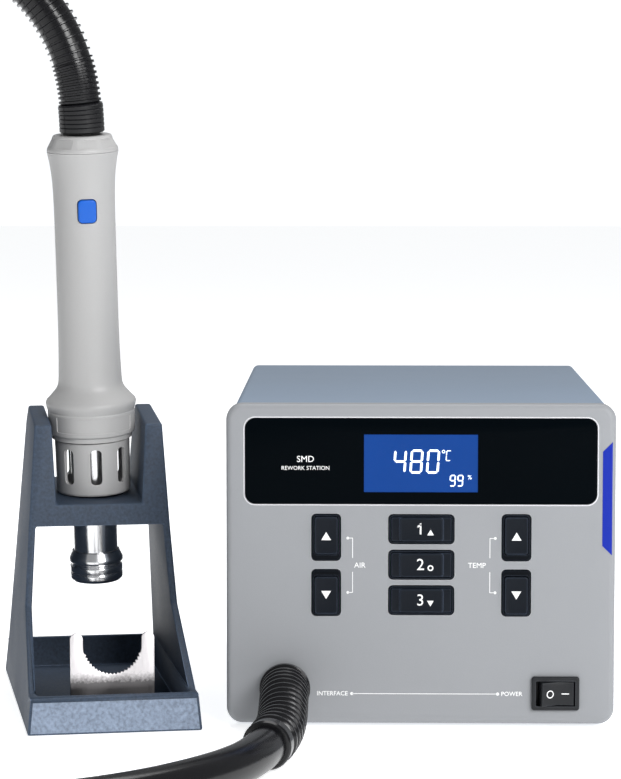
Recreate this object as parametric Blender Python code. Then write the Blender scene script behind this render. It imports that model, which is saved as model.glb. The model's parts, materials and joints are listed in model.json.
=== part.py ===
"""Hot-air rework station: the main unit, the hot-air gun resting in its stand, and the air hose.

Sizes are in millimetres and MM turns them into Blender's metres where a mesh is made. The main
unit is drawn about the middle of its front panel (x = 0, panel face at y = 0, floor at z = 0),
the stand about the middle of its front bottom edge, and the gun about the middle of the bottom of
its slotted sleeve, with z along its axis. Three empties place these frames in the part's own
frame, whose origin is the bottom centre of the object's box without its hose.
"""

import math

import bmesh
import bpy
import numpy as np
from mathutils import Matrix, Vector

MM = 0.001
GAP = 0.3  # between pieces that touch
SHARP = math.radians(35)
CURVE_STEPS = 3  # segments in a quarter circle at a corner
ROUND_STEPS = 24  # segments around a turned piece

# --- main unit -----------------------------------------------------------------------------
PANEL_W = 171.0
PANEL_H = 139.5
FOOT_H = 4.0
DEPTH = 215.0
PANEL_R = 7.0
PANEL_EDGE = 2.2
PANEL_T = 3.5
BEZEL_D = 7.0
BEZEL_WALL = 2.0
BEZEL_DROP = 2.4  # how far the front reaches below the casing
SHEET = 1.2
SIDE_CLEAR = 3.7  # kept free between large pieces inside the casing
COVER_INSET = 3.5  # from the bezel's side to the cover's side
COVER_R = 3.0
FLANGE_H = 12.0
REAR_T = 1.5
FOOT_R = 8.0
FOOT_SPREAD = PANEL_W / 2 - 20.5
FOOT_Y = (25.0, DEPTH - 20.0)

WINDOW_MARGIN = (8.5, 6.35)  # from the panel's side, and from its top
WINDOW_W = PANEL_W - 2 * WINDOW_MARGIN[0]
WINDOW_H = 37.5
WINDOW_Z = FOOT_H + PANEL_H - WINDOW_MARGIN[1] - WINDOW_H / 2
WINDOW_R = 4.3
WINDOW_T = 2.0
WINDOW_PROUD = 0.3
RECESS_D = 2.0
LCD_W = 50.0
LCD_H = 25.5
LCD_Z = WINDOW_Z - 0.9
LCD_FRAME = 5.0
LCD_T = 6.0

KEY_PROUD = 2.0
KEY_BACK = 6.4
KEY_TRAVEL = 1.2
KEY_GAP = 0.35
FRAME_PROUD = 0.5
ARROW_KEY = (10.2, 16.6)
ARROW_KEY_R = 1.2
ARROW_RIM = (1.2, 1.9)  # the frame's width beside the key, and above and below it
ARROW_RIM_R = 2.0
ARROW_SHIFT = 1.0  # of each key in its frame, away from the other key
ARROW_SPACE = 4.1  # between the two frames of a pair
ARROW_DROP = 45.95  # from the window's middle to the middle of a pair
ARROW_X = {"air": -41.5, "temp": 42.0}
CHANNEL_KEY = (26.6, 10.8)
CHANNEL_KEY_R = 0.9
CHANNEL_RIM = 1.0
CHANNEL_RAISED_W = 19.0
CHANNEL_WING_PROUD = 0.7
CHANNEL_X = 0.3
CHANNEL_DROP = 30.0  # from the window's middle to the top key
CHANNEL_SPACE = 2.95  # between two frames

ROCKER_X = PANEL_W / 2 - 26.0
ROCKER_Z = 15.7
ROCKER_WELL = (17.4, 11.2)
ROCKER_WALL = 1.0
ROCKER_LIP = (0.8, 0.9)  # how far the switch's bezel covers the panel
ROCKER_PROUD = 2.0
ROCKER_WELL_D = 6.0
ROCKER_BODY_D = 14.0
ROCKER_AXIS_Y = 2.0
ROCKER_REACH = ROCKER_WELL[0] / 2 - 1.3  # from its axis to a paddle's end
ROCKER_RISE = 3.4  # from its axis to a paddle's face
ROCKER_VALLEY = 3.6
ROCKER_TILT = math.radians(12)

OUTLET_X = 25.8 - PANEL_W / 2
OUTLET_Z = 17.9
OUTLET_HOLE_R = 10.3
DUCT_R = 9.0
DUCT_BORE_R = 7.0  # also through the gland
GLAND_NUT_R = OUTLET_Z - FOOT_H - BEZEL_WALL - GAP
GLAND_BACK = 10.0

BLOWER_R = 38.0
BLOWER_Y = 125.0
BLOWER_FRONT_Y = BLOWER_Y - BLOWER_R - 12.0
DUCT_END_Y = BLOWER_FRONT_Y - 9.0
BLOWER_STEPS = 24
BLOWER_Z = 8.2
BLOWER_H = 26.0
BLOWER_WALL = 2.0
BLOWER_INLET_R = 16.0
BLOWER_X = OUTLET_X - DUCT_R + BLOWER_R
IMPELLER_R = BLOWER_R - 8.0
IMPELLER_DISC = 1.6
IMPELLER_DROP = 3.0
IMPELLER_HUB_R = 5.0
BLADE_COUNT = 11
BLADE_T = 1.4
BLADE_BOW = 3.0
BLADE_RUN = (0.5, 0.7, 0.85, 0.98)  # where along the disc's radius a blade has its points
MOTOR_R = 18.0
MOTOR_H = 28.0
SHAFT_R = 1.5

BOARD_T = 1.6
FRONT_BOARD = (PANEL_W - 21.0, PANEL_H - 49.5)
FRONT_BOARD_Y = 12.0
FRONT_BOARD_TOP = FOOT_H + PANEL_H - 11.5
SWITCH_SIDE = 6.0
BAY = (BLOWER_X + BLOWER_R + 1.0 + SIDE_CLEAR, PANEL_W / 2 - COVER_INSET - SIDE_CLEAR - 0.3)
BAY_X = (BAY[0] + BAY[1]) / 2  # the space beside the blower
MAIN_BOARD_Y = (25.0, DEPTH - 97.0)
STANDOFF_H = 8.0
STANDOFF_R = 3.0
STANDOFF_INSET = 5.0
SINK_W = BAY[1] - BAY[0] - 22.0
SINK_H = 32.0
SINK_D = 18.0
SINK_FINS = 7
SINK_BASE = 4.0
SINK_FIN_T = 2.4
SINK_Y = MAIN_BOARD_Y[0] + 35.0
CORE = (BAY[1] - BAY[0] - 1.0, 30.0, 56.0)
COIL_INSET = 11.0  # from the core's sides
COIL = (CORE[0] - 2 * COIL_INSET, 48.0, 36.0)
TRANSFORMER_Y = DEPTH - 55.0

INLET_XZ = (48.0, 44.0)
INLET_D = 20.0
INLET_WELL = (22.5, 14.5)
INLET_WELL_D = 15.0
INLET_PIN = (1.8, 10.0, 4.0)
INLET_BODY = (INLET_WELL[0] + 4.7, INLET_WELL[1] + 5.1)
INLET_FLANGE = (INLET_BODY[0] + 20.8, INLET_BODY[1] + 3.4)
INLET_FLANGE_T = 2.0
INLET_PINS = ((-7.0, -2.0), (0.0, 2.0), (7.0, -2.0))
FUSE_XZ = (10.0, 44.0)
FUSE_R = 6.2
FUSE_CAP_R = FUSE_R + 1.8
FUSE_CAP_OUT = 9.0
FUSE_D = 24.0
VENT_COUNT = 9
VENT = (3.0, 34.0)
VENT_PITCH = 8.0
VENT_Z = FOOT_H + PANEL_H - 43.5

SCREW_R = 1.4
SCREW_HEAD_R = SCREW_R + 1.5
SCREW_HEAD_T = 1.8
SCREW_HEAD_TOP_R = 1.6
SCREW_L = 6.0
SCREW_Z = 11.5
SCREW_Y = (40.0, DEPTH - 30.0)

# --- stand -----------------------------------------------------------------------------------
STAND_W = 77.0
STAND_D = 160.0
STAND_SPACE = 9.4  # between the main unit and the stand's front corner
STAND_X = -(PANEL_W / 2 + STAND_SPACE + STAND_W / 2)
STAND_Y = -14.8
STAND_YAW = math.radians(10.5)
TRAY_H = 16.5
TRAY_DRAFT = 1.5
TRAY_WALL = 3.2
TRAY_FLOOR = 2.2
TRAY_CHAMFER = 1.8
SIDE_TAPER = 0.0686  # sideways lean of each side wall per millimetre of height
ELBOW = (63.0, 47.0)  # y, z where the side wall's front edge turns down to the tray
BAR_Z = 82.3
BAR_Y = 70.0
PRONG_FRONT = (72.5, 128.7)
PRONG_BACK = (118.0, 133.8)
BACK_EDGE = (125.5, 126.0)
FOOT_EDGE_Y = STAND_D - 5.0
SIDE_FRONT_Y = 13.0
SHELF_Z = 92.0
SHELF_LEAN = math.radians(5.5)
NOTCH_CLEAR = 2.5  # on each side of the sleeve
NOTCH_SPREAD = 0.05
NOTCH_OVER = 20.0  # how far the cutting shapes run past the stand
NOZZLE_CLEAR = 1.4  # around the nozzle in the cradle's hole
GUN_Y = 98.5

REST_W = 37.2
REST_H = 40.0
REST_T = 1.4
REST_Y = 13.0
REST_ARM = 5.6  # width of the plate on each side of its notch
REST_NOTCH_R = REST_W / 2 - REST_ARM
REST_NOTCH_Z = 34.2  # from the plate's bottom to the notch's centre
REST_TEETH = 15
REST_TOOTH = 0.9

# --- gun -------------------------------------------------------------------------------------
GUN_SIDE_LEAN = math.radians(2.0)
SLEEVE_R = 17.2
SLEEVE_H = 25.0
SLEEVE_WALL = 1.6
SLEEVE_STEPS = 40
SLOT_COUNT = 8
SLOT = (5.4, 16.6)
SLOT_Z = 13.8
TUBE_R = 10.3
TUBE_WALL = 0.9
TUBE_LOW = -38.0
TUBE_TOP = 58.0
HEATER_LOW = -8.0
HEATER_SHORT = 6.0  # below the tube's top
MICA_T = 0.9
MICA_Z = (29.6, 50.0)
NOZZLE_WALL = 2.0
NOZZLE_R = TUBE_R + GAP + NOZZLE_WALL
NOZZLE_TOP = TUBE_LOW + 9.5
NOZZLE_LOW = TUBE_LOW - 4.8
NOZZLE_LIP = 1.2  # stops the tube's end
NOZZLE_GROOVE = 7.2  # from the nozzle's end
SHELL_WALL = 2.2
SHELL_STEPS = 12  # segments around each half
BAND_PROUD = 2.2  # of the band above the sleeve
BULGE_PROUD = 3.8
SHELL_BASE = SLEEVE_H + 0.6
SHELL_TOP = 158.7
GRIP_R = 14.0
COLLAR_R = GRIP_R + 2.4
TAIL_H = 7.3
TAIL_TOP_R = COLLAR_R - 3.2
TAIL_BORE_R = 8.9
BUTTON = (8.3, 10.7)
BUTTON_R = 2.05
BUTTON_Z = 132.5
BUTTON_PROUD = 1.0
BUTTON_DEEP = 5.0
BUTTON_GAP = 0.35

# --- hose ------------------------------------------------------------------------------------
HOSE_R = 8.5
STATION_BOOT_L = 74.0
GUN_BOOT_L = 31.0
BOOT_COLLAR_R = 11.2
BOOT_MIDDLE_R = 9.6
BOOT_END_R = 10.3
FIN_R = 9.4
HOSE_STEP = 36.0  # between the points of the hose's tube
HOSE_LEAD = 1.5  # to the point beside each end, which squares the end to the boot
BOOT_STEP = 6.0
# Chosen by hand in the part's own frame, in metres, from the panel's outlet to the gun's tail,
# for an outlet and a tail at these two places.
ROUTE_ENDS = ((-0.00224, -0.10109, 0.0179), (-0.09667, -0.03583, 0.26157))
HOSE_ROUTE = [
    (-0.0022, -0.1011, 0.0179), (-0.0020, -0.1291, 0.0166), (-0.0025, -0.1591, 0.0126),
    (-0.0060, -0.1851, 0.0112), (-0.0135, -0.2111, 0.0098), (-0.0335, -0.2441, 0.0089),
    (-0.0705, -0.2791, 0.0088), (-0.1245, -0.3011, 0.0088), (-0.1845, -0.2991, 0.0088),
    (-0.2355, -0.2681, 0.0088), (-0.2625, -0.2181, 0.0088), (-0.2680, -0.1691, 0.0088),
    (-0.2672, -0.1320, 0.0092), (-0.2662, -0.0991, 0.0155), (-0.2653, -0.0712, 0.0342),
    (-0.2646, -0.0525, 0.0620), (-0.2642, -0.0450, 0.0948), (-0.2640, -0.0400, 0.1480),
    (-0.2640, -0.0370, 0.2000), (-0.2635, -0.0355, 0.2500), (-0.2570, -0.0353, 0.2883),
    (-0.2383, -0.0352, 0.3207), (-0.2104, -0.0353, 0.3424), (-0.1775, -0.0355, 0.3500),
    (-0.1469, -0.0360, 0.3448), (-0.1204, -0.0371, 0.3275), (-0.1024, -0.0382, 0.2994),
    (-0.0971, -0.0369, 0.2732), (-0.0966, -0.0357, 0.2617),
]


def clear_scene():
    for obj in list(bpy.data.objects):
        bpy.data.objects.remove(obj)


# --- building blocks ---------------------------------------------------------------------------


def material(name, colour, roughness, metallic=0.0):
    """A Principled material."""
    made = bpy.data.materials.new(name)
    made.use_nodes = True
    shader = made.node_tree.nodes["Principled BSDF"]
    shader.inputs["Base Color"].default_value = (*colour, 1.0)
    shader.inputs["Roughness"].default_value = roughness
    shader.inputs["Metallic"].default_value = metallic
    return made


def rounded_rect(width, height, radius, centre=(0.0, 0.0), steps=CURVE_STEPS):
    """An outline with round corners, anticlockwise from its right side."""
    points = []
    for quarter in range(4):
        sign_u = (1, -1, -1, 1)[quarter]
        sign_v = (1, 1, -1, -1)[quarter]
        middle_u = centre[0] + sign_u * (width / 2 - radius)
        middle_v = centre[1] + sign_v * (height / 2 - radius)
        for step in range(steps + 1):
            angle = (quarter + step / steps) * math.pi / 2
            points.append(
                (middle_u + radius * math.cos(angle), middle_v + radius * math.sin(angle))
            )
    return points


def circle(radius, steps=ROUND_STEPS, centre=(0.0, 0.0)):
    turn = 2 * math.pi / steps
    return [
        (centre[0] + radius * math.cos(k * turn), centre[1] + radius * math.sin(k * turn))
        for k in range(steps)
    ]


def ring(outline, level, axis):
    """An outline placed in space, at a level along one axis."""
    places = {
        "X": lambda u, v: (level, u, v),
        "Y": lambda u, v: (u, level, v),
        "Z": lambda u, v: (u, v, level),
    }
    return [places[axis](u, v) for u, v in outline]


def loft(rings, closed=False):
    """A skin over rings of equal length. Unless it closes on itself, its two ends are capped."""
    bm = bmesh.new()
    rows = [[bm.verts.new(point) for point in points] for points in rings]
    pairs = list(zip(rows, rows[1:] + rows[:1] if closed else rows[1:]))
    for low, high in pairs:
        for k in range(len(low)):
            bm.faces.new((low[k - 1], low[k], high[k], high[k - 1]))
    if not closed:
        bm.faces.new(rows[0])
        bm.faces.new(rows[-1])
    bmesh.ops.recalc_face_normals(bm, faces=bm.faces)
    return bm


def prism(outline, low, high, axis):
    return loft([ring(outline, low, axis), ring(outline, high, axis)])


def tube_prism(outer, inner, low, high, axis):
    """A straight piece with a hole along it. Both outlines have as many points."""
    rings = [ring(outer, low, axis), ring(outer, high, axis)]
    rings += [ring(inner, high, axis), ring(inner, low, axis)]
    return loft(rings, closed=True)


def box(size, centre):
    outline = [(-0.5, -0.5), (0.5, -0.5), (0.5, 0.5), (-0.5, 0.5)]
    flat = [(centre[0] + u * size[0], centre[1] + v * size[1]) for u, v in outline]
    return prism(flat, centre[2] - size[2] / 2, centre[2] + size[2] / 2, "Z")


def turned(profile, axis="Z", centre=(0.0, 0.0), closed=False, steps=ROUND_STEPS):
    """A turned piece from (radius, level) points, solid to its axis or, when closed, a ring."""
    rings = [ring(circle(radius, steps, centre), level, axis) for radius, level in profile]
    return loft(rings, closed)


def swept_sector(profile, start, end, steps):
    """A closed (radius, z) profile swept about Z through part of a turn."""
    rings = []
    for k in range(steps + 1):
        angle = start + (end - start) * k / steps
        rings.append([(r * math.cos(angle), r * math.sin(angle), z) for r, z in profile])
    return loft(rings)


def soft_edge_rings(width, height, radius, front, back, edge, centre, steps=3):
    """Rings of a slab across Y whose front edge is rounded."""
    rings = []
    for k in range(steps + 1):
        angle = k / steps * math.pi / 2
        inset = edge * (1 - math.sin(angle))
        outline = rounded_rect(width - 2 * inset, height - 2 * inset, radius - inset, centre)
        rings.append(ring(outline, front + edge * (1 - math.cos(angle)), "Y"))
    rings.append(ring(rounded_rect(width, height, radius, centre), back, "Y"))
    return rings


def joined(shapes):
    """Several shapes in one mesh, each still its own closed body."""
    whole = bmesh.new()
    for shape in shapes:
        mesh = bpy.data.meshes.new("shape")
        shape.to_mesh(mesh)
        shape.free()
        whole.from_mesh(mesh)
        bpy.data.meshes.remove(mesh)
    return whole


def place(name, shape, finish, parent, at=(0.0, 0.0, 0.0)):
    """Makes the named object of a shape drawn in millimetres about `at` in its parent's frame."""
    mesh = bpy.data.meshes.new(name)
    bmesh.ops.scale(shape, vec=(MM, MM, MM), verts=shape.verts)
    shape.to_mesh(mesh)
    shape.free()
    mesh.shade_smooth()
    mesh.set_sharp_from_angle(angle=SHARP)
    obj = bpy.data.objects.new(name, mesh)
    bpy.context.scene.collection.objects.link(obj)
    if finish:
        mesh.materials.append(finish)
    obj.parent = parent
    obj.location = Vector(at) * MM
    return obj


def combine(target, shape, operation):
    """Cuts a shape from a piece, or joins it on, in the piece's own frame."""
    name = f"{target.name}_{operation.lower()}_{len(target.modifiers) + 1}"
    tool = place(name, shape, None, target)
    tool.hide_render = True
    tool.display_type = "WIRE"
    modifier = target.modifiers.new(name, "BOOLEAN")
    modifier.operation = operation
    modifier.object = tool


def cut(target, *shapes):
    combine(target, joined(shapes), "DIFFERENCE")


def join(target, *shapes):
    combine(target, joined(shapes), "UNION")


def frame_empty(name, location, rotation=(0.0, 0.0, 0.0), parent=None):
    empty = bpy.data.objects.new(name, None)
    bpy.context.scene.collection.objects.link(empty)
    empty.location = Vector(location) * MM
    empty.rotation_euler = rotation
    empty.parent = parent
    return empty


# --- the three frames --------------------------------------------------------------------------


def part_origin():
    """The middle of the footprint of main unit and stand, in the main unit's frame."""
    side, depth = math.sin(STAND_YAW), math.cos(STAND_YAW)
    left = STAND_X - STAND_W / 2 * depth - STAND_D * side
    front = STAND_Y - STAND_W / 2 * side
    return (left + PANEL_W / 2) / 2, (front + DEPTH + FUSE_CAP_OUT) / 2


def gun_seat_z():
    """Height of the sleeve's bottom centre: on the leaning shelf, a little up for its own lean."""
    shelf = SHELF_Z + (GUN_Y - BAR_Y) * math.tan(SHELF_LEAN)
    return shelf + GAP + SLEEVE_R * math.sin(GUN_SIDE_LEAN)


def make_frames():
    """The empties that carry the main unit, the stand and the gun."""
    x, y = part_origin()
    station = frame_empty("station_frame", (-x, -y, 0.0))
    stand_at = (STAND_X, STAND_Y, 0.0)
    stand = frame_empty("stand_frame", stand_at, (0.0, 0.0, STAND_YAW), station)
    lean = (SHELF_LEAN, -GUN_SIDE_LEAN, 0.0)
    gun = frame_empty("gun_frame", (0.0, GUN_Y, gun_seat_z()), lean, stand)
    return station, stand, gun


# --- main unit: casing -------------------------------------------------------------------------


def panel_middle():
    return (0.0, FOOT_H + PANEL_H / 2)


def widened(size, by, by_height=None):
    """A (width, height) made larger by a margin on each side."""
    return size[0] + 2 * by, size[1] + 2 * (by if by_height is None else by_height)


def arrow_frame():
    return widened(ARROW_KEY, *ARROW_RIM)


def channel_frame():
    return widened(CHANNEL_KEY, CHANNEL_RIM)


def arrow_keys():
    """(name, frame centre, key centre) of the four arrow keys."""
    keys = []
    middle = WINDOW_Z - ARROW_DROP
    reach = (arrow_frame()[1] + ARROW_SPACE) / 2
    for group, x in ARROW_X.items():
        for way, sign in (("up", 1), ("down", -1)):
            z = middle + sign * reach
            keys.append((f"{group}_{way}", (x, z), (x, z + sign * ARROW_SHIFT)))
    return keys


def channel_keys():
    """(name, centre) of the three channel keys, from the top down."""
    top, pitch = WINDOW_Z - CHANNEL_DROP, channel_frame()[1] + CHANNEL_SPACE
    return [(f"channel_{k + 1}", (CHANNEL_X, top - k * pitch)) for k in range(3)]


def rocker_sizes():
    """The rocker switch's body behind the panel and its bezel in front."""
    body = widened(ROCKER_WELL, ROCKER_WALL)
    return body, widened(body, *ROCKER_LIP)


def make_bezel(station, grey):
    middle = panel_middle()
    height, lower = PANEL_H + BEZEL_DROP, (middle[0], middle[1] - BEZEL_DROP / 2)
    rings = soft_edge_rings(PANEL_W, height, PANEL_R, 0.0, BEZEL_D, PANEL_EDGE, lower)
    bezel = place("front_bezel", loft(rings), grey, station)
    inside = rounded_rect(
        PANEL_W - 2 * BEZEL_WALL, PANEL_H - 2 * BEZEL_WALL, PANEL_R - BEZEL_WALL, middle
    )
    cut(bezel, prism(inside, PANEL_T, BEZEL_D + 1, "Y"))
    recess = (WINDOW_W + 2 * GAP, WINDOW_H + 2 * GAP, WINDOW_R + GAP, (0.0, WINDOW_Z))
    cut(bezel, prism(rounded_rect(*recess), -1.0, RECESS_D, "Y"))
    front, back = -1.0, PANEL_T + 1
    holes = [prism(rounded_rect(LCD_W + 2, LCD_H + 2, 1.0, (0.0, LCD_Z)), front, back, "Y")]
    for _, centre, _ in arrow_keys():
        outline = rounded_rect(*widened(arrow_frame(), GAP), ARROW_RIM_R + GAP, centre, 2)
        holes.append(prism(outline, front, back, "Y"))
    for _, centre in channel_keys():
        outline = rounded_rect(*widened(channel_frame(), GAP), CHANNEL_KEY_R + 1, centre, 2)
        holes.append(prism(outline, front, back, "Y"))
    body, _ = rocker_sizes()
    outline = rounded_rect(*widened(body, GAP), 0.5 + GAP, (ROCKER_X, ROCKER_Z), 2)
    holes.append(prism(outline, front, back, "Y"))
    outlet = circle(OUTLET_HOLE_R, centre=(OUTLET_X, OUTLET_Z))
    holes.append(prism(outlet, front, back, "Y"))
    cut(bezel, *holes)


def cover_half_width():
    return PANEL_W / 2 - COVER_INSET


def make_chassis(station, steel):
    half = cover_half_width()
    front, back = BEZEL_D + GAP, DEPTH - REAR_T - GAP
    inner = half - SHEET - GAP
    low, top = FOOT_H, FOOT_H + SHEET
    outline = [(-half, low), (half, low), (half, top), (inner, top), (inner, top + FLANGE_H)]
    outline += [(inner - SHEET, top + FLANGE_H), (inner - SHEET, top)]
    outline += [(-u, v) for u, v in reversed(outline[4:])] + [(-inner, top), (-half, top)]
    chassis = place("chassis_tray", prism(outline, front, back, "Y"), steel, station)
    posts = []
    for x in (BAY[0] + STANDOFF_INSET, BAY[1] - STANDOFF_INSET):
        for y in (MAIN_BOARD_Y[0] + STANDOFF_INSET, MAIN_BOARD_Y[1] - STANDOFF_INSET):
            outline = circle(STANDOFF_R, 12, (x, y))
            posts.append(prism(outline, top - SHEET / 2, top + STANDOFF_H, "Z"))
    join(chassis, *posts)
    cut(chassis, *screw_holes(SCREW_R + GAP))


def screw_places():
    return [(sign, y) for sign in (-1, 1) for y in SCREW_Y]


def screw_holes(radius):
    """Cylinders across each side wall where the cover's screws go."""
    half = cover_half_width()
    holes = []
    for sign, y in screw_places():
        outline = circle(radius, 12, (y, SCREW_Z))
        low, high = sorted((sign * (half + 2), sign * (half - SCREW_L - 1)))
        holes.append(prism(outline, low, high, "X"))
    return holes


def make_cover(station, blue):
    half = cover_half_width()
    low, high = FOOT_H + SHEET + GAP, FOOT_H + PANEL_H
    front = BEZEL_D + GAP

    def arch(inset, radius):
        top, side = high - inset, half - inset
        right = []
        for step in range(CURVE_STEPS + 1):
            angle = step / CURVE_STEPS * math.pi / 2
            right.append(
                (
                    side - radius + radius * math.cos(angle),
                    top - radius + radius * math.sin(angle),
                )
            )
        return [(side, low)] + right + [(-u, v) for u, v in reversed(right)] + [(-side, low)]

    outer, inner = arch(0.0, COVER_R), arch(SHEET, COVER_R - SHEET)
    outline = outer + list(reversed(inner))
    cover = place("top_cover", prism(outline, front, DEPTH, "Y"), blue, station)
    cut(cover, *screw_holes(SCREW_R + GAP))


def make_rear_panel(station, steel):
    half = cover_half_width() - SHEET - GAP
    low, high = FOOT_H + SHEET + GAP, FOOT_H + PANEL_H - SHEET - GAP
    outline = rounded_rect(2 * half, high - low, 2.0, (0.0, (low + high) / 2))
    panel = place("rear_panel", prism(outline, DEPTH - REAR_T, DEPTH, "Y"), steel, station)
    near, far = DEPTH - REAR_T - 1, DEPTH + 1
    inlet = rounded_rect(*widened(INLET_BODY, GAP), 1.0, INLET_XZ)
    holes = [prism(inlet, near, far, "Y")]
    holes.append(prism(circle(FUSE_R + GAP, 20, FUSE_XZ), near, far, "Y"))
    for k in range(VENT_COUNT):
        x = (k - (VENT_COUNT - 1) / 2) * VENT_PITCH
        outline = rounded_rect(*VENT, VENT[0] / 2 - 0.01, (x, VENT_Z), 2)
        holes.append(prism(outline, near, far, "Y"))
    cut(panel, *holes)


def make_feet(station, rubber):
    profile = [(FOOT_R - 1.2, 0.0), (FOOT_R - 0.4, 0.6), (FOOT_R, FOOT_H - GAP)]
    number = 0
    for x in (-FOOT_SPREAD, FOOT_SPREAD):
        for y in FOOT_Y:
            number += 1
            foot = turned(profile, steps=20)
            place(f"rubber_foot_{number}", foot, rubber, station, (x, y, 0.0))


def make_cover_screws(station, steel):
    half = cover_half_width()
    for number, (sign, y) in enumerate(screw_places(), 1):
        head = half + GAP
        profile = [(SCREW_R, head - SCREW_L), (SCREW_R, head), (SCREW_HEAD_R, head)]
        profile += [(SCREW_HEAD_R, head + SCREW_HEAD_T / 2)]
        profile += [(SCREW_HEAD_TOP_R, head + SCREW_HEAD_T)]
        levels = [(radius, sign * level) for radius, level in profile]
        screw = turned(levels, "X", steps=12)
        place(f"cover_screw_{number}", screw, steel, station, (0.0, y, SCREW_Z))


# --- main unit: front controls -----------------------------------------------------------------


def make_display(station, gloss_black, glass_blue, green):
    rings = soft_edge_rings(
        WINDOW_W, WINDOW_H, WINDOW_R, -WINDOW_PROUD, WINDOW_T - WINDOW_PROUD, 0.4,
        (0.0, WINDOW_Z), steps=2,
    )
    place("display_window", loft(rings), gloss_black, station)
    glass = rounded_rect(LCD_W, LCD_H, 0.6, (0.0, LCD_Z))
    case = rounded_rect(LCD_W + 2 * LCD_FRAME, LCD_H + LCD_FRAME, 0.6, (0.0, LCD_Z))
    rings = [ring(glass, RECESS_D + GAP, "Y"), ring(glass, PANEL_T + GAP, "Y")]
    rings += [ring(case, PANEL_T + GAP, "Y"), ring(case, PANEL_T + GAP + LCD_T, "Y")]
    place("lcd_module", loft(rings), glass_blue, station)
    low, high = FRONT_BOARD_Y, FRONT_BOARD_Y + BOARD_T
    outline = rounded_rect(*FRONT_BOARD, 2.0, (0.0, FRONT_BOARD_TOP - FRONT_BOARD[1] / 2), 1)
    board = place("front_board", prism(outline, low, high, "Y"), green, station)
    switches = []
    centres = [key for _, _, key in arrow_keys()] + [key for _, key in channel_keys()]
    for x, z in centres:
        deep = FRONT_BOARD_Y - KEY_BACK - KEY_TRAVEL - GAP
        middle = FRONT_BOARD_Y - deep / 2 + 0.25
        switches.append(box((SWITCH_SIDE, deep + 0.5, SWITCH_SIDE), (x, middle, z)))
    join(board, *switches)


def make_arrow_keys(station, black):
    for name, frame_centre, key_centre in arrow_keys():
        outer = rounded_rect(*arrow_frame(), ARROW_RIM_R, frame_centre, 2)
        inner = rounded_rect(*widened(ARROW_KEY, KEY_GAP), ARROW_KEY_R + KEY_GAP, key_centre, 2)
        frame = tube_prism(outer, inner, -FRAME_PROUD, PANEL_T, "Y")
        place(f"{name}_key_frame", frame, black, station)
        rings = soft_edge_rings(
            *ARROW_KEY, ARROW_KEY_R, -KEY_PROUD, KEY_BACK, 0.7, (0.0, 0.0), steps=2
        )
        x, z = key_centre
        place(f"{name}_key", loft(rings), black, station, (x, 0.0, z))


def make_channel_keys(station, black):
    width, height = CHANNEL_KEY
    raised = CHANNEL_RAISED_W / 2
    for name, (x, z) in channel_keys():
        outer = rounded_rect(*channel_frame(), CHANNEL_KEY_R + 0.7, (x, z), 2)
        inner = rounded_rect(*widened(CHANNEL_KEY, KEY_GAP), CHANNEL_KEY_R, (x, z), 2)
        frame = tube_prism(outer, inner, -FRAME_PROUD, PANEL_T, "Y")
        place(f"{name}_key_frame", frame, black, station)
        wing, face = -CHANNEL_WING_PROUD, -KEY_PROUD
        half = [(width / 2, KEY_BACK), (width / 2, wing + 0.4), (width / 2 - 0.4, wing)]
        half += [(raised + 0.8, wing), (raised, face + 0.6), (raised - 0.6, face)]
        outline = half + [(-u, v) for u, v in reversed(half)]
        key = place(
            f"{name}_key", prism(outline, -height / 2, height / 2, "Z"), black, station, (x, 0.0, z)
        )
        soften = key.modifiers.new("soft_edges", "BEVEL")
        soften.width = 0.3 * MM
        soften.segments = 1
        soften.limit_method = "ANGLE"
        soften.angle_limit = math.radians(60)


def make_power_switch(station, black):
    centre = (ROCKER_X, ROCKER_Z)
    body_size, bezel_size = rocker_sizes()
    bezel = rounded_rect(*bezel_size, 1.2, centre)
    body = rounded_rect(*body_size, 0.5, centre)
    rings = [ring(bezel, -ROCKER_PROUD, "Y"), ring(bezel, -GAP, "Y")]
    rings += [ring(body, -GAP, "Y"), ring(body, ROCKER_BODY_D, "Y")]
    switch = place("power_switch_body", loft(rings), black, station)
    well = rounded_rect(*ROCKER_WELL, 0.4, centre)
    cut(switch, prism(well, -ROCKER_PROUD - 1, ROCKER_WELL_D, "Y"))
    tip, valley = -ROCKER_AXIS_Y - ROCKER_RISE, -ROCKER_VALLEY
    half = [(ROCKER_REACH, 1.2), (ROCKER_REACH, tip + 0.4), (ROCKER_REACH - 0.5, tip)]
    outline = half + [(0.0, valley)] + [(-u, v) for u, v in reversed(half)]
    turn = Matrix.Rotation(ROCKER_TILT, 2)
    outline = [tuple(turn @ Vector(point)) for point in outline]
    height = ROCKER_WELL[1] / 2 - 0.4
    rocker = prism(outline, -height, height, "Z")
    place("power_rocker", rocker, black, station, (ROCKER_X, ROCKER_AXIS_Y, ROCKER_Z))


# --- main unit: inside -------------------------------------------------------------------------


def make_air_path(station, black, rubber):
    centre = (OUTLET_X, OUTLET_Z)
    neck = OUTLET_HOLE_R - GAP
    profile = [(neck, GAP), (neck, PANEL_T + GAP), (GLAND_NUT_R, PANEL_T + GAP)]
    profile += [(GLAND_NUT_R, GLAND_BACK), (DUCT_BORE_R, GLAND_BACK), (DUCT_BORE_R, GAP)]
    place("hose_gland", turned(profile, "Y", centre, closed=True, steps=24), black, station)
    near, far = GLAND_BACK + GAP, DUCT_END_Y - GAP
    profile = [(DUCT_R, near), (DUCT_R, far), (DUCT_BORE_R, far), (DUCT_BORE_R, near)]
    place("air_duct", turned(profile, "Y", centre, closed=True, steps=24), rubber, station)


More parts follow.
